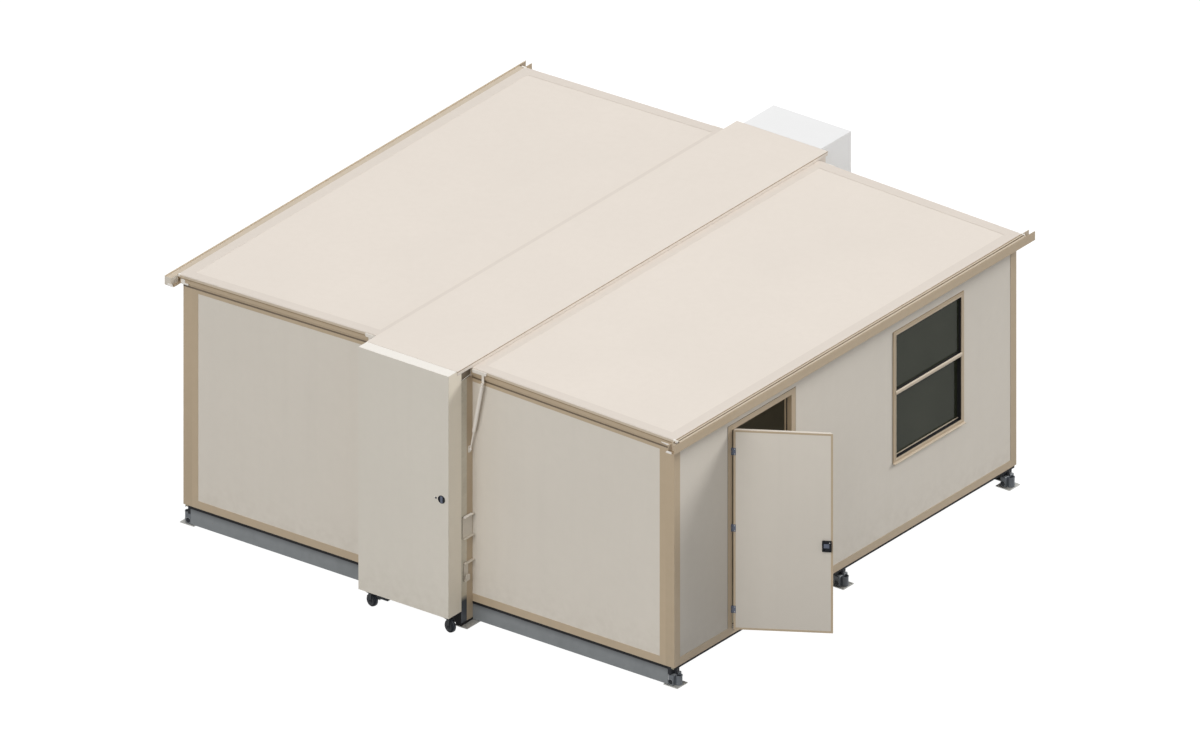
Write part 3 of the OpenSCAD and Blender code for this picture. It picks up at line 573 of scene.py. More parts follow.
# %% [markdown]
# Cap trim. The core's roof cap is a shallow tray turned upside down, with an edge bead round its
# top and a rolled foot round its sides. Both are flat frames again. The bead stands a hair proud
# and just under the top, so that it shows as a thin brown line. At the front, dark strips on the
# ceiling's sides are painted shade for the hollow under the cap, and a thin tie rod lies near each
# corner.

# %% Cap trim
cap_low, cap_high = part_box("core_roof")
cap_x, cap_front, cap_back = 0.522, 2.875, 2.795

def round_cap(proud, z0, z1, width):
    """A flat frame round the roof cap, between two heights."""
    return ring((-cap_x - proud, -cap_front - proud, z0),
                (cap_x + proud, cap_back + proud, z1), width, "Z")

bead = round_cap(0.0013, cap_high.z - 0.0085, cap_high.z - 0.0012, 0.006)
hand_over("cap_edge_bead", soften(bead, 0.0011), "deep_trim", "tan_trim")
foot = round_cap(0.001, 2.6185, 2.6245, 0.006)
hand_over("cap_foot_roll", soften(foot, 0.002), "roof_edge", "roof_skin")
# Dark strips under the cap: painted shade.
strip = block((0.5001, -2.8745, 2.5215), (0.5022, -2.656, 2.6172))
stepped(strip, "+X", (0.006, -0.0012))
hand_over("cap_closures", both_sides(soften(strip, 0.0005, 1)), "closure", "tan_trim")
rod = turned([(0.002, 0), (0.0042, 0.002), (0.0042, 0.12), (0.002, 0.122)],
             (0.505, -2.7885, 2.53), (0.02, 1, 0.12), 12)
hand_over("cap_rods", four_corners(rod), "strut_cream", "galvanised")

# %% [markdown]
# Gutter details. A folded guard leads from the right roof's eave over the gutter, to keep leaves
# out: a flat step, a groove, and a lower, tilted step. The left one is a flat lid that runs on to
# the gutter's front end, which is closed by an end plate and a cheek. White caps close the guards'
# other ends. The gutter has a lining, a stop end at the front on the right, and a rolled bead along
# its outer lip, which is simplest as a turned part laid along Y. The lining and the stop end are
# in the pale tan, and the end plate and cheek in cream: a painted highlight that keeps the trough
# and the shaded cheek as light as the outside. The right bead, a line at the eave and one in the
# groove are deep tan, painted shade.

# %% Gutter details
gutter_y, guard_y = 2.764, 2.652
rod = turned([(0.003, -gutter_y), (0.0046, 0.003 - gutter_y), (0.0046, gutter_y - 0.003),
              (0.003, gutter_y)], (2.9222, 0, 2.5662), "+Y", 16)
# The pale lining is a painted highlight in the trough.
lining = [block((2.8565, 0.001 - gutter_y, 2.4828), (2.9235, gutter_y - 0.001, 2.4842)),
          block((2.8562, 0.001 - gutter_y, 2.4842), (2.8574, gutter_y - 0.001, 2.564))]
edit(lining[1], looking("+Z"))
bpy.ops.mesh.bevel(offset=0.0004)
step = block((2.8625, -guard_y, 2.564), (2.879, guard_y, 2.5656))
edit(step, looking("+X"))
extrude(0, 0, -0.006)
tray = block((2.887, -guard_y, 2.5585), (2.919, guard_y, 2.5598))
edit(tray, looking("+X"))
push(0, 0, 0.002)
lid = stepped(block((-2.92, -2.76, 2.5612), (-2.854, guard_y, 2.5626)), "+Z",
              (0.004, -0.0006), move=push)
guards = {"right": [soften(step, 0.0006, 1), soften(tray, 0.0004, 1)], "left": [soften(lid, 0.0004, 1)]}
# The right bead is deep tan, painted shade beside the trough. The left one is tan.
for side, half, finish in zip(("right", "left"), both_sides(rod), ("deep_trim", "tan_trim")):
    hand_over(side + "_gutter_bead", half, finish, "tan_trim")
for side, half in zip(("right", "left"), both_sides(joined(lining))):
    hand_over(side + "_gutter_trim", [half, *guards[side]], "pale_trim", "tan_trim")

# Dark lines at the eave and in the guard's groove: painted shade.
lines = [soften(block((2.8521, -2.654, 2.563), (2.862, 2.654, 2.5676)), 0.0012),
         soften(block((2.8785, -guard_y, 2.556), (2.8875, guard_y, 2.559)), 0.0005, 1)]
hand_over("eave_lines", lines, "deep_trim", "tan_trim")
end_caps = four_corners(cut_edges(block((2.849, -2.6625, 2.547), (2.8895, -2.6495, 2.5695)),
                                  "Y", 0.003, 2))
front_left = min(end_caps, key=lambda cap: sum(corner[0] + corner[1] for corner in cap.bound_box))
end_caps.remove(front_left)
bpy.data.objects.remove(front_left)
hand_over("guard_end_caps", end_caps, "white_cap", "roof_skin")

# The stop end is painted pale: a painted highlight.
stop = block((2.8572, -2.71, 2.48), (2.9236, -2.7062, 2.565))
stepped(stop, "-Y", (0.007, -0.0012))
hand_over("right_gutter_stop", soften(stop, 0.0008), "pale_trim", "tan_trim")
# The end plate and cheek are painted cream: a painted highlight on the shaded cheek.
folded_end = [block((-2.9262, -2.7638, 2.48), (-2.8536, -2.76, 2.565)),
              block((-2.854, -2.763, 2.48), (-2.8512, -2.66, 2.564))]
folded_end = [soften(plate, 0.0006) for plate in folded_end]
hand_over("left_gutter_end", folded_end, "cream_metal", "tan_trim")

# %% [markdown]
# Door edges. The leaf is a foam panel in a metal edge, so both faces show a tan border. The frame
# holds a black seal that the leaf closes on, and a ribbed tread covers its sill. All are modelled
# with the door shut, where every edge runs along an axis. What moves with the leaf is then swung
# open about the hinge pin, by the angle at which the door stands in the frame.

# %% Door edges
hinge = joints["door_hinge"]
pivot = Matrix.Translation(hinge["pos_m"])
swing = pivot @ Matrix.Rotation(math.radians(hinge["range_deg"][0]), 4, "Z") @ pivot.inverted()

def on_door(name, parts, finish, slot, *replaced):
    """Opens a piece that was modelled on the shut door, and lets it ride on the door."""
    piece = joined(parts)
    piece.matrix_world = swing
    hand_over(name, settle(piece), finish, slot, *replaced, body="door")

LEAF_Y0, LEAF_Y1, LEAF_Z0, LEAF_Z1 = -1.729, -0.829, 0.254, 2.289
outer = ring((2.8316, LEAF_Y0, LEAF_Z0), (2.8334, LEAF_Y1 + 0.02, LEAF_Z1 + 0.013), 0.02)
on_door("door_outer_edging", soften(outer, 0.0007), "tan_trim", "tan_trim")
inner = ring((2.7738, LEAF_Y0, LEAF_Z0), (2.7754, LEAF_Y1, LEAF_Z1), 0.032)
on_door("door_inner_edging", soften(inner, 0.0006), "tan_trim", "tan_trim")

seal = ring((2.7698, -1.728, 0.256), (2.7734, -0.828, 2.288), 0.013)
hand_over("door_seal", soften(seal, 0.0012), "seal_rubber", "black_fitting")
sealant = ring((2.8168, -1.8005, 0.2785), (2.819, -0.7555, 2.3525), 0.005)
hand_over("door_frame_sealant", soften(sealant, 0.0008), "closure", "tan_trim")

rib, first_rib, last_rib = 0.0059, 2.7755, 2.817
tread = block((2.7715, -1.7325, 0.2488), (2.821, -0.8235, 0.2515))
edit(tread, looking("+Z"))
bpy.ops.mesh.inset(thickness=0.004)
bpy.ops.mesh.subdivide(number_cuts=6)
edit(tread, lambda place, normal: normal.z > 0.9 and first_rib + 0.0001 < place.x < last_rib
     and int((place.x - first_rib) / rib) % 2 == 0)
push(0, 0, 0.0012)
hand_over("door_tread", tread, "bright_steel", "galvanised")

# %% [markdown]
# Door lock. The outer lock is a black housing with a sunk face, a blue-grey paddle across its upper
# middle and a bright key barrel in its corner. The housing is a block with rounded corners whose
# face is stepped out and then in. The paddle, the barrel and the plate on the inside are pieces of
# their own.

# %% Door lock
housing = block((2.832, -0.909, 1.098), (2.8575, -0.822, 1.204))
cut_edges(housing, "X", 0.0025, 2)
stepped(housing, "+X", (0.003, 0.0012), (0.006, -0.0035))
on_door("door_lock_body", soften(housing, 0.0012), "black_fitting", "black_fitting", "door_lock")
paddle = block((2.85, -0.893, 1.138), (2.8595, -0.841, 1.18))
stepped(paddle, "+X", (0.005, 0.0016))
on_door("door_lock_paddle", soften(paddle, 0.0025, 3), "hinge_coat", "black_fitting")
barrel = turned([(0.0052, 0.857), (0.0052, 0.8605), (0.004, 0.8617), (0.0018, 0.8617),
                 (0.0018, 0.86)], (2, -0.838, 1.1925), "+X", 20)
on_door("door_lock_barrel", barrel, "bright_steel", "galvanised")
inside = stepped(block((2.7632, -0.939, 1.103), (2.775, -0.865, 1.199)), "-X",
                 (0.009, -0.004), (0.016, 0.0038))
on_door("door_lock_inside", soften(inside, 0.0016), "black_fitting", "black_fitting")

# %% [markdown]
# Hinge screws. Each hinge leaf is held by two screws with low domed heads. One head is turned,
# copied to every hole, and split into two pieces, because those on the strap move with the door.

# %% Hinge screws
head = turned([(0.0042, 0), (0.004, 0.0008), (0.0026, 0.0017), (0.001, 0.0017),
               (0.0008, 0.0008)], (2.8352, LEAF_Y0 + 0.0125, 0), "+X", 12)
screw_zs = [hinge_z + offset for hinge_z in (0.46, 1.295, 2.081) for offset in (-0.024, 0.024)]
strap_screws = [again(head, (0, 0, z)) for z in screw_zs]
frame_screws = [again(head, (-0.0124, -0.0225, z)) for z in screw_zs]
bpy.data.objects.remove(head)
on_door("door_strap_screws", strap_screws, "bright_steel", "galvanised")
hand_over("door_frame_screws", frame_screws, "bright_steel", "galvanised")

# %% [markdown]
# Window trims. A window is a nest of frames: sealant against the wall, a raised bead on the face, a
# dark lining in each light, a gasket on the pane, a sill below, a sash rail at the foot and a
# rounded rail where the two lights meet. Each is its own flat frame or bar. One set is modelled on
# the right wall and mirrored to the left.

# %% Window trims
WIN_Y, WIN_Z = (0.732, 1.81), (0.962, 2.307)
LIGHT_Y = (0.774, 1.768)
LIGHTS = ((1.004, 1.657, 2.785), (1.691, 2.265, 2.801))

def window_ring(x0, x1, ys, zs, inwards, width, rounding):
    """A flat frame in the window's plane, set inwards or outwards from its opening."""
    frame_ring = ring((x0, ys[0] + inwards, zs[0] + inwards),
                      (x1, ys[1] - inwards, zs[1] - inwards), width)
    return soften(frame_ring, rounding)

sealant = window_ring(2.8168, 2.8188, WIN_Y, WIN_Z, -0.004, 0.0045, 0.0008)
sides_over("window_sealant", sealant, "deep_trim", "tan_trim")
linings = []
for z0, z1, pane in LIGHTS:
    linings.append(window_ring(pane - 0.001, 2.8235, LIGHT_Y, (z0, z1), -0.0005, 0.0045, 0.0008))
    linings.append(window_ring(pane - 0.0005, pane + 0.004, LIGHT_Y, (z0, z1), 0.003, 0.0065, 0.0015))
sides_over("window_seals", linings, "seal_rubber", "black_fitting")

face_bead = window_ring(2.8255, 2.8285, WIN_Y, WIN_Z, 0.028, 0.007, 0.0012)
sill = block((2.824, WIN_Y[0] - 0.006, WIN_Z[0] - 0.009), (2.846, WIN_Y[1] + 0.006, WIN_Z[0] + 0.006))
draw_edges(sill, "Y", (0, 0, -0.006), lambda place: place.x > 2.84 and place.z > 0.96)
sash = block((2.7862, LIGHT_Y[0] + 0.0045, 1.015), (2.796, LIGHT_Y[1] - 0.0045, 1.0215))
beads = [face_bead, soften(sill, 0.0015), soften(sash, 0.002)]
sides_over("window_beads", beads, "pale_trim", "tan_trim")
rail = block((2.8065, LIGHT_Y[0] - 0.01, 1.6535), (2.835, LIGHT_Y[1] + 0.01, 1.6945))
cut_edges(rail, "Y", 0.012, 5, lambda place: place.x > 2.82)
sides_over("window_meeting_rail", rail, "pale_trim", "tan_trim")

# %% [markdown]
# Struts. A gas strut holds up the inner edge of each wing's roof. Its tube narrows at the mouth,
# where a gland guides the rod, so it is turned in steps along its own axis and leaned over between
# its two eyes. The eyes, their bolts, the foot plate and the bar on the roof's edge make up the
# set, which is modelled at the front right and copied to the other corners.

# %% Struts
eye_low, eye_high = Vector((0.514, -2.668, 1.78)), Vector((0.65, -2.668, 2.49))
run = eye_high - eye_low
reach = run.length
strut = [turned([(0.007, 0.012), (0.007, reach * 0.26), (0.0125, reach * 0.26),
                 (0.015, reach * 0.275), (0.0168, reach * 0.3), (0.0194, reach * 0.45),
                 (0.0194, reach * 0.93), (0.0165, reach * 0.96), (0.008, reach * 0.965),
                 (0.007, reach - 0.008)], eye_low, run, 24)]
for place in (eye_low, eye_high):
    strut.append(turned([(0.013, -0.007), (0.0138, -0.005), (0.0138, 0.005), (0.013, 0.007),
                         (0.0075, 0.007), (0.0065, 0.0085), (0.004, 0.0092)], place, "-Y", 20))
foot_plate = cut_edges(block((0.5002, -2.688, 1.746), (0.506, -2.648, 1.814)), "X", 0.01, 3)
bar_top = roof_z(0.696) - 0.002
bar = block((0.534, -2.6708, bar_top - 0.034), (0.696, -2.6552, bar_top))
cut_edges(bar, "Y", 0.018, 5, lambda place: place.z < bar_top - 0.02 and place.x > 0.6)
lug = block((0.637, -2.6612, 2.49), (0.663, -2.6556, bar_top - 0.03))
edit(lug, looking("-Z"))
bpy.ops.mesh.bevel(offset=0.004, segments=2)
strut += [soften(foot_plate, 0.001), soften(bar, 0.0022), lug]
hand_over("gas_struts", four_corners(joined(strut)), "strut_cream",
          slot_of["roof_struts"], "roof_struts")

# %% [markdown]
# Panel latches. Two brackets on each core post hold a wing's end wall. The upper one is a folded
# plate with a flange above and below, and two capped bolts. The lower one has a top flange with a
# lifted end and a knob, and a hook. Each flange is a thin block of its own, set against the plate.

# %% Panel latches
POST_X = 0.5002
plate_x = POST_X + 0.005
upper = [block((POST_X, -2.778, 0.894), (plate_x, -2.628, 1.113))]
for z in (0.894, 1.108):
    flange = block((plate_x, -2.778, z), (0.5352, -2.628, z + 0.005))
    upper.append(cut_edges(flange, "Z", 0.009, 3, lambda place: place.x > 0.51))
upper = soften(joined(upper), 0.0012)
bolts = []
for y, half in ((-2.68, 0.024), (-2.733, 0.036)):
    cap = block((0.506, y - half, 1.1125), (0.532, y + half, 1.1245))
    bolts.append(cut_edges(cap, None, 0.0055, 3, lambda place: place.z > 1.12))
lower = soften(block((POST_X, -2.756, 0.456), (0.5045, -2.69, 0.634)), 0.0012)
shelf = block((POST_X, -2.756, 0.634), (0.5335, -2.6265, 0.64))
edit(shelf, looking("-Y"))
extrude(0, -0.004, 0.003)
bpy.ops.transform.resize(value=(1, 1, 1.5))
hook = block((0.5045, -2.756, 0.456), (0.5295, -2.695, 0.462))
cut_edges(hook, "Z", 0.006, 2, lambda place: place.x > 0.51)
tongue = block((0.524, -2.756, 0.462), (0.5298, -2.695, 0.524))
cut_edges(tongue, "X", 0.02, 4, lambda place: place.z > 0.51)
knob = turned([(0.004, 0), (0.0075, 0.002), (0.0075, 0.008), (0.004, 0.0105)],
              (0.518, -2.748, 0.64), "+Z", 16)
hand_over("latch_bolts", four_corners(joined(bolts)), "white_cap", "galvanised")
latch = [upper, lower, soften(shelf, 0.001), soften(hook, 0.001), soften(tongue, 0.001), knob]
hand_over("wall_latches", four_corners(joined(latch)), "cream_metal",
          slot_of["panel_latches"], "panel_latches")
outlines = [ring((0.5001, -2.7815, 0.89), (0.5012, -2.625, 1.117), 0.0045),
            ring((0.5001, -2.76, 0.452), (0.5012, -2.685, 0.64), 0.0045)]
gaskets = [copy for line in outlines for copy in four_corners(line)]
hand_over("latch_gaskets", gaskets, "closure", "black_fitting")

# %% [markdown]
# Utility cover. Each side gets a skin painted paler than the cover, a painted highlight for light
# that the sides lack, and a white skin is bonded to the top. The lock is a round black escutcheon,
# turned with its rim and its middle left low, with a blue-grey grip upright across it that narrows
# towards its face. A small dark key cap and a pale stud sit beside it.

# %% Utility cover
front_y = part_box("utility_cover")[0].y
disc_x, lock_z = 0.439, 1.377
disc = turned([(0.04, -0.001), (0.04, 0.004), (0.0385, 0.0058), (0.035, 0.0058),
               (0.034, 0.003)], (disc_x, front_y, lock_z), "-Y", 40)
hand_over("cover_lock_disc", disc, "black_fitting", "black_fitting", "cover_lock", body="cover")
grip = block((disc_x - 0.013, front_y - 0.005, lock_z - 0.036),
             (disc_x + 0.013, front_y - 0.002, lock_z + 0.036))
stepped(grip, "-Y", (0.0035, 0.0008), move=push)
hand_over("cover_lock_grip", soften(grip, 0.0012), "hinge_coat", "black_fitting", body="cover")
key_cap = turned([(0.0095, 0), (0.0095, 0.003), (0.0078, 0.0045), (0.002, 0.0045)],
                 (0.374, front_y, lock_z), "-Y", 20)
hand_over("cover_key_cap", key_cap, "tread_band", "black_fitting", body="cover")
stud = turned([(0.0045, 0), (0.0045, 0.0015), (0.003, 0.0025)],
              (0.359, front_y, 1.38), "-Y", 16)
hand_over("cover_key_stud", stud, "white_cap", "cover_skin", body="cover")
# The side skins are painted paler: a painted highlight.
skin = block((0.5171, front_y + 0.003, 0.173), (0.5179, -2.813, 2.657))
stepped(skin, "+X", (0.006, 0.0003), move=push)
skins = both_sides(soften(skin, 0.0003, 1))
hand_over("cover_side_skins", skins, "cover_side", "cover_skin", body="cover")
top = block((-0.514, front_y + 0.003, 2.6592), (0.514, -2.88, 2.6602))
stepped(top, "+Z", (0.006, 0.0001), move=push)
hand_over("cover_top_skin", soften(top, 0.0003, 1), "white_cap", "cover_skin", body="cover")

# %% [markdown]
# Underframe lines. A dark strip lies between the beams and the wall rails, and a black rim under
# each side wall: painted shade for the shadow under the rails. Without these thin dark lines the
# walls seem to grow out of the beams. Each is a strip whose outer face is inset and sunk a little.

# %% Underframe lines
# Painted shade under the wall rails, in the black of the seals.
gasket = stepped(block((0.502, -2.6175, 0.1725), (2.74, -2.6145, 0.1995)), "-Y", (0.003, -0.0008))
rim = stepped(block((2.8052, -2.607, 0.169), (2.8075, 2.607, 0.1995)), "+X", (0.004, -0.0006))
hand_over("floor_gaskets", four_corners(gasket) + both_sides(rim), "seal_rubber", "black_fitting")

# %% [markdown]
# Levelling jacks. Each is a cast gearbox with a hole for the crank, beside a round jack tube with
# an open top, and a dark head that carries the floor. The hole is a dark disc, painted shade for its
# depth, inside a turned collar. The lid and the collar are in the paler beam paint, a painted
# highlight. Two dark uprights tie the gearbox to the beam's end. All six are copies of one jack.

# %% Levelling jacks
TUBE_X, CRANK = 2.816, (2.771, 0.044)

def jacks_over(name, parts, *finish):
    """Hands over copies of a jack's parts, on each side at three places along the cabin."""
    part = joined(parts)
    made = [copy for y in (2.545, 0.0, -2.545) for copy in both_sides(again(part, (0, y, 0)))]
    bpy.data.objects.remove(part)
    hand_over(name, made, *finish)

gearbox = soften(block((2.7412, -0.0665, 0.0085), (2.8, 0.0665, 0.112)), 0.007, 3)
tube = turned([(0.0355, 0.0085), (0.0355, 0.026), (0.0335, 0.029), (0.0335, 0.094), (0.0358, 0.096),
               (0.0358, 0.1035), (0.033, 0.1045), (0.0285, 0.1045), (0.0285, 0.07)],
              (TUBE_X, 0, 0), "+Z", 36)
jacks_over("jack_castings", [gearbox, tube], "casting", slot_of["levelling_feet"], "levelling_feet")
collar = turned([(0.029, 0.0), (0.029, 0.0026), (0.0278, 0.0036), (0.0245, 0.0036),
                 (0.0235, 0.001)], (CRANK[0], -0.066, CRANK[1]), "-Y", 28)
# The lid and collar are paler than the casting: a painted highlight.
lid = stepped(block((2.745, -0.06, 0.1118), (2.796, 0.06, 0.1132)), "+Z", (0.005, 0.0008), move=push)
jacks_over("jack_lids", [collar, soften(lid, 0.0005, 1)], "beam_paint", "galvanised")
# The crank hole is a dark disc: painted shade.
hole = turned([(0.0235, 0), (0.0235, 0.003), (0.022, 0.0038)], (CRANK[0], -0.067, CRANK[1]),
              "-Y", 28)
stem = turned([(0.022, 0.106), (0.022, 0.125), (0.018, 0.129), (0.018, 0.162), (0.0218, 0.166),
               (0.0218, 0.1768)], (2.7785, 0, 0), "+Z", 28)
screw = turned([(0.0275, 0.072), (0.0275, 0.09), (0.012, 0.096)], (TUBE_X, 0, 0), "+Z", 28)
upright = stepped(block((2.7413, -0.069, 0.1125), (2.772, -0.019, 0.199)), "+X", (0.003, 0.0015))
darks = [hole, stem, screw, soften(upright, 0.0008, 1), again(upright, (0, 0.088, 0))]
jacks_over("jack_stems", darks, "chassis_paint", "chassis_paint")

# %% [markdown]
# Foot plates. The plates under the jacks and the core's corners are flame-cut and galvanised. A thin
# bright bead round each plate is a painted highlight along its edge. Each core post gets a dark pad
# under its foot and a black toe plate in front of it.

# %% Foot plates
edges = [((2.6985, y - 0.0795, 0.006), (2.8575, y + 0.0795, 0.0084)) for y in (-2.545, 0.0, 2.545)]
edges += [((0.4265, y - 0.105, 0.0062), (0.5755, y + 0.105, 0.0084)) for y in (-2.6975, 2.6975)]
# Bright beads: a painted highlight along each plate's edge.
beads = [soften(ring(low, high, 0.0035, "Z"), 0.0006) for low, high in edges]
hand_over("plate_edges", [half for bead in beads for half in both_sides(bead)],
          "bright_steel", "galvanised")
pad = stepped(block((0.4385, -2.795, 0.0085), (0.503, -2.558, 0.031)), "+X", (0.004, 0.0006))
toe = stepped(block((0.408, -2.7995, 0.031), (0.499, -2.7915, 0.168)), "-Y", (0.006, -0.0008))
pads = four_corners(soften(pad, 0.001, 1)) + four_corners(soften(toe, 0.001, 1))
hand_over("post_pads", pads, "seal_rubber", "black_fitting")

# %% [markdown]
# Casters. Four swivelling casters carry the core while it is moved. A wheel is turned about its own
# axle, which is read from the frame: a tyre with rounded shoulders, a hub, and a band of a lighter
# compound round the middle of its tread. They ride on the wheel's body. Thread guards between wheel
# and fork and the axle's six-sided nuts ride on the fork.

# %% Casters
HALF, RADIUS = 0.022, 0.062

def mirrored(profile):
    """A wheel's whole profile, from the half on its far side."""
    return [(radius, -along) for radius, along in reversed(profile)] + profile

TYRE = mirrored([(RADIUS, HALF - 0.01), (0.0605, HALF - 0.004), (0.056, HALF), (0.044, HALF),
                 (0.038, HALF - 0.006), (0.02, HALF - 0.006)])
BAND = mirrored([(0.0628, 0.006), (0.06, 0.0075)])
HUB = mirrored([(0.02, HALF - 0.006), (0.0185, HALF - 0.0015), (0.01, HALF - 0.001)])
GUARD = [(0.015, 0.0232), (0.05, 0.0232), (0.053, 0.0245), (0.053, 0.0258), (0.042, 0.0266), (0.015, 0.0266)]
NUT = [(0.0095, 0), (0.0095, 0.004), (0.008, 0.0052), (0.005, 0.0052), (0.005, 0.0075), (0.0035, 0.0085)]

for name in ("front_left", "front_right", "back_left", "back_right"):
    wheel_low, wheel_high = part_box(name + "_wheel")
    middle = (wheel_low + wheel_high) / 2
    axle = Vector(joints[name + "_wheel_spin"]["axis"]).normalized()
    tyre = turned(TYRE, middle, axle, 40)
    hand_over(name + "_wheel_tyre", tyre, "caster_tyre", "caster_tyre", name + "_wheel",
              body=name + "_roller")
    for part, profile, sides in (("_wheel_band", BAND, 40), ("_wheel_hub", HUB, 28)):
        hand_over(name + part, turned(profile, middle, axle, sides), "tread_band", "caster_tyre",
                  body=name + "_roller")
    nuts = []
    for outwards in (-axle, axle):
        nuts.append(turned(GUARD, middle, outwards, 32))
        nuts.append(turned(NUT, middle + outwards * (HALF + 0.009), outwards, 6))
    hand_over(name + "_axle_nuts", nuts, "chassis_paint", "chassis_paint", body=name + "_swivel")

# %% [markdown]
# Air conditioner. Its plain cabinet hides its working side at the back: two fans in round wells
# under wire guards. It has a louvred grille and a service hatch on each side. The wells are cut out
# by turned discs, because a face can't be inset to a circle, and a notch clears the edge of the
# roof cap. A louvre is a strip whose lower edge is pulled outwards, copied down a frame. A guard is
# a set of thin rings with spokes, and a blade is a thin block tilted on the hub.

# %% Air conditioner
unit_low, unit_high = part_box("air_conditioner")
back_y, side_x = unit_high.y, unit_high.x
FANS_Z = (1.3, 1.95)

def cut_out(piece, cutter):
    modify(piece, "BOOLEAN", object=cutter, operation="DIFFERENCE", solver="EXACT")
    bpy.data.objects.remove(cutter)

def fan_part(profile, z, sides):
    """A round part on a fan's axis, its heights measured from the cabinet's back."""
    return turned(profile, (0, back_y, z), "+Y", sides)

def spun(piece, z, angle):
    """Turns a piece about a fan's axis."""
    axis = Matrix.Translation((0, 0, z))
    piece.matrix_world = axis @ Matrix.Rotation(angle, 4, "Y") @ axis.inverted()
    return settle(piece)

cabinet = block(unit_low, unit_high)
cut_out(cabinet, block((unit_low.x - 0.01, unit_low.y - 0.01, cap_low.z),
                       (side_x + 0.01, cap_back + 0.001, unit_high.z + 0.01)))
for z in FANS_Z:
    cut_out(cabinet, fan_part([(0.24, -0.045), (0.24, 0.01)], z, 56))
hand_over("air_cabinet", cabinet, "white_cabinet", "white_cabinet", "air_conditioner")

guards, wells = [], []
for z in FANS_Z:
    wells.append(fan_part([(0.239, -0.0449), (0.239, -0.044), (0.23, -0.043)], z, 48))
    wells.append(fan_part([(0.04, -0.044), (0.04, -0.018), (0.03, -0.014)], z, 32))
    blade = block((0.03, back_y - 0.032, z - 0.05), (0.215, back_y - 0.029, z + 0.05))
    draw_edges(blade, "X", (0, 0.016, 0), lambda place: place.z > z)
    wells += [spun(again(blade), z, turn * math.tau / 5) for turn in range(5)]
    bpy.data.objects.remove(blade)
    for radius in (0.045, 0.085, 0.125, 0.165, 0.205, 0.24):
        guards.append(start("torus", major_radius=radius, minor_radius=0.0028, major_segments=48,
                            minor_segments=6, location=(0, back_y - 0.003, z), rotation=(math.pi / 2, 0, 0)))
    for turn in range(4):
        spoke = block((-0.0026, back_y - 0.006, z - 0.24), (0.0026, back_y - 0.0028, z + 0.24))
        guards.append(spun(spoke, z, turn * math.pi / 4))
print("fans", len(guards), "guard wires")
hand_over("aircon_fans", wells, "chassis_paint", "black_fitting")
hand_over("aircon_fan_guards", guards, "white_cabinet", "white_cabinet")

slat = block((side_x + 0.0004, 2.895, 1.02), (side_x + 0.0014, 3.165, 1.035))
draw_edges(slat, "Y", (0.005, 0, 0), lambda place: place.z < 1.025)
slats = [half for step in range(24) for half in both_sides(again(slat, (0, 0, step * 0.022)))]
bpy.data.objects.remove(slat)
hand_over("aircon_louvres", slats, "white_cabinet", "white_cabinet")

backing = block((side_x - 0.001, 2.89, 1.01), (side_x + 0.0005, 3.17, 1.55))
stepped(backing, "+X", (0.004, -0.0003), move=push)
hatch = ring((side_x - 0.001, 2.885, 1.65), (side_x + 0.0006, 3.175, 2.15), 0.003)
rims = ring((-0.42, back_y - 0.002, 0.91), (0.42, back_y - 0.0003, 2.63), 0.003, "Y")
seams = both_sides(backing) + both_sides(hatch) + [rims]
hand_over("aircon_seams", seams, "closure", "white_cabinet")

# %% [markdown]
# Light. The finish should look as it was written, so what falls on a level roof adds up to about
# one unit. Nearly half of it is an even sky. Two broad soft suns add the rest, one from behind on
# the right, and one from the front, a little to the right. A sun lights the whole cabin alike where
# an area lamp would fade across it, and a wide angle softens its shadows. A weak lamp keeps the
# room from turning plain black. The floor is a mid grey that lights the walls from below. To the
# camera it is nearly all plain white, with a share of real shading left for the shadow.

# %% Sky and sun
def cleared(data):
    """The empty node tree of a sky or a material."""
    data.use_nodes = True
    data.node_tree.nodes.clear()
    return data.node_tree

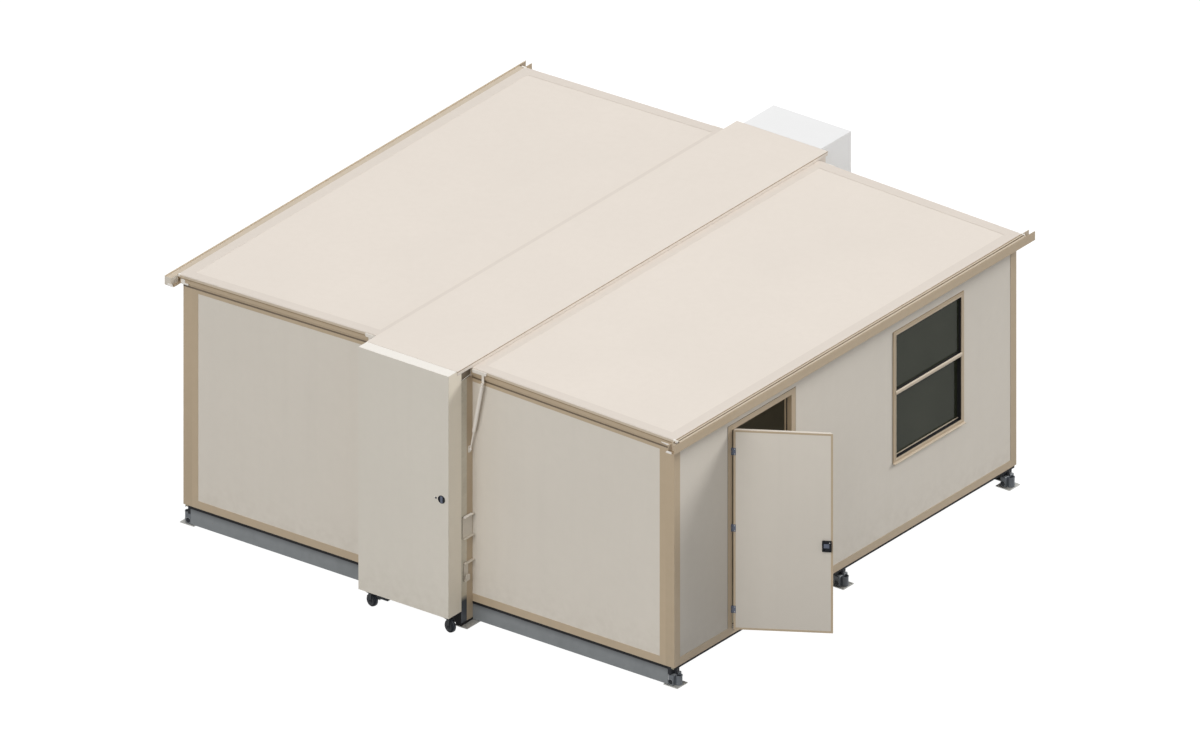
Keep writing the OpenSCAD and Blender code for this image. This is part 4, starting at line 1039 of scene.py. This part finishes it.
def wired(tree, kind, *inputs, **settings):
    """A node with numbers or links for its first inputs."""
    node = tree.nodes.new("ShaderNode" + kind)
    for name, value in settings.items():
        setattr(node, name, value)
    for socket, value in zip(node.inputs, inputs):
        if isinstance(value, bpy.types.NodeSocket):
            tree.links.new(value, socket)
        else:
            socket.default_value = value
    return node.outputs[0] if node.outputs else None

def seen_or_lit(tree, lit, seen):
    """One shader that lights, and one for the camera, for gloss and for rays through glass."""
    path = tree.nodes.new("ShaderNodeLightPath").outputs
    direct = wired(tree, "Math", path["Is Camera Ray"], path["Is Glossy Ray"], operation="MAXIMUM")
    direct = wired(tree, "Math", direct, path["Is Transmission Ray"], operation="MAXIMUM")
    return wired(tree, "MixShader", direct, lit, seen)

def add_lamp(name, kind, **settings):
    data = bpy.data.lights.new(name, kind)
    for setting, value in settings.items():
        setattr(data, setting, value)
    lamp = bpy.data.objects.new(name, data)
    scene.collection.objects.link(lamp)
    return lamp

world = bpy.data.worlds.new("sky")
scene.world = world
tree = cleared(world)
white = (1, 1, 1, 1)
wired(tree, "OutputWorld", seen_or_lit(tree, wired(tree, "Background", white, 0.45),
                                       wired(tree, "Background", white, 1.0)))
for name, share, spread, towards in (("lamp_behind", 0.70, 20, (0.37, 0.80, 0.47)),
                                     ("lamp_front", 0.47, 40, (0.12, -0.84, 0.53))):
    sun = add_lamp(name, "SUN", energy=share * math.pi, angle=math.radians(spread))
    sun.rotation_euler = Vector(towards).to_track_quat("Z", "Y").to_euler()
    print(name, "gives", share, "of a unit to a face turned to it")
add_lamp("room_lamp", "POINT", energy=11, shadow_soft_size=0.4).location = (0, 0, 1.9)

# %% Floor
floor = start("plane", size=90, location=(0, 0, -0.0005))
floor.name = "floor"
ground = bpy.data.materials.new("ground")
tree = cleared(ground)

def grey(value):
    return (value, value, value, 1)

shaded = wired(tree, "BsdfDiffuse", grey(0.27))
bright = wired(tree, "MixShader", 0.10, wired(tree, "Emission", grey(1.10)),
               wired(tree, "BsdfDiffuse", grey(1.0)))
wired(tree, "OutputMaterial", seen_or_lit(tree, shaded, bright))
floor.data.materials.append(ground)
print("floor", floor.dimensions.x, "m wide")
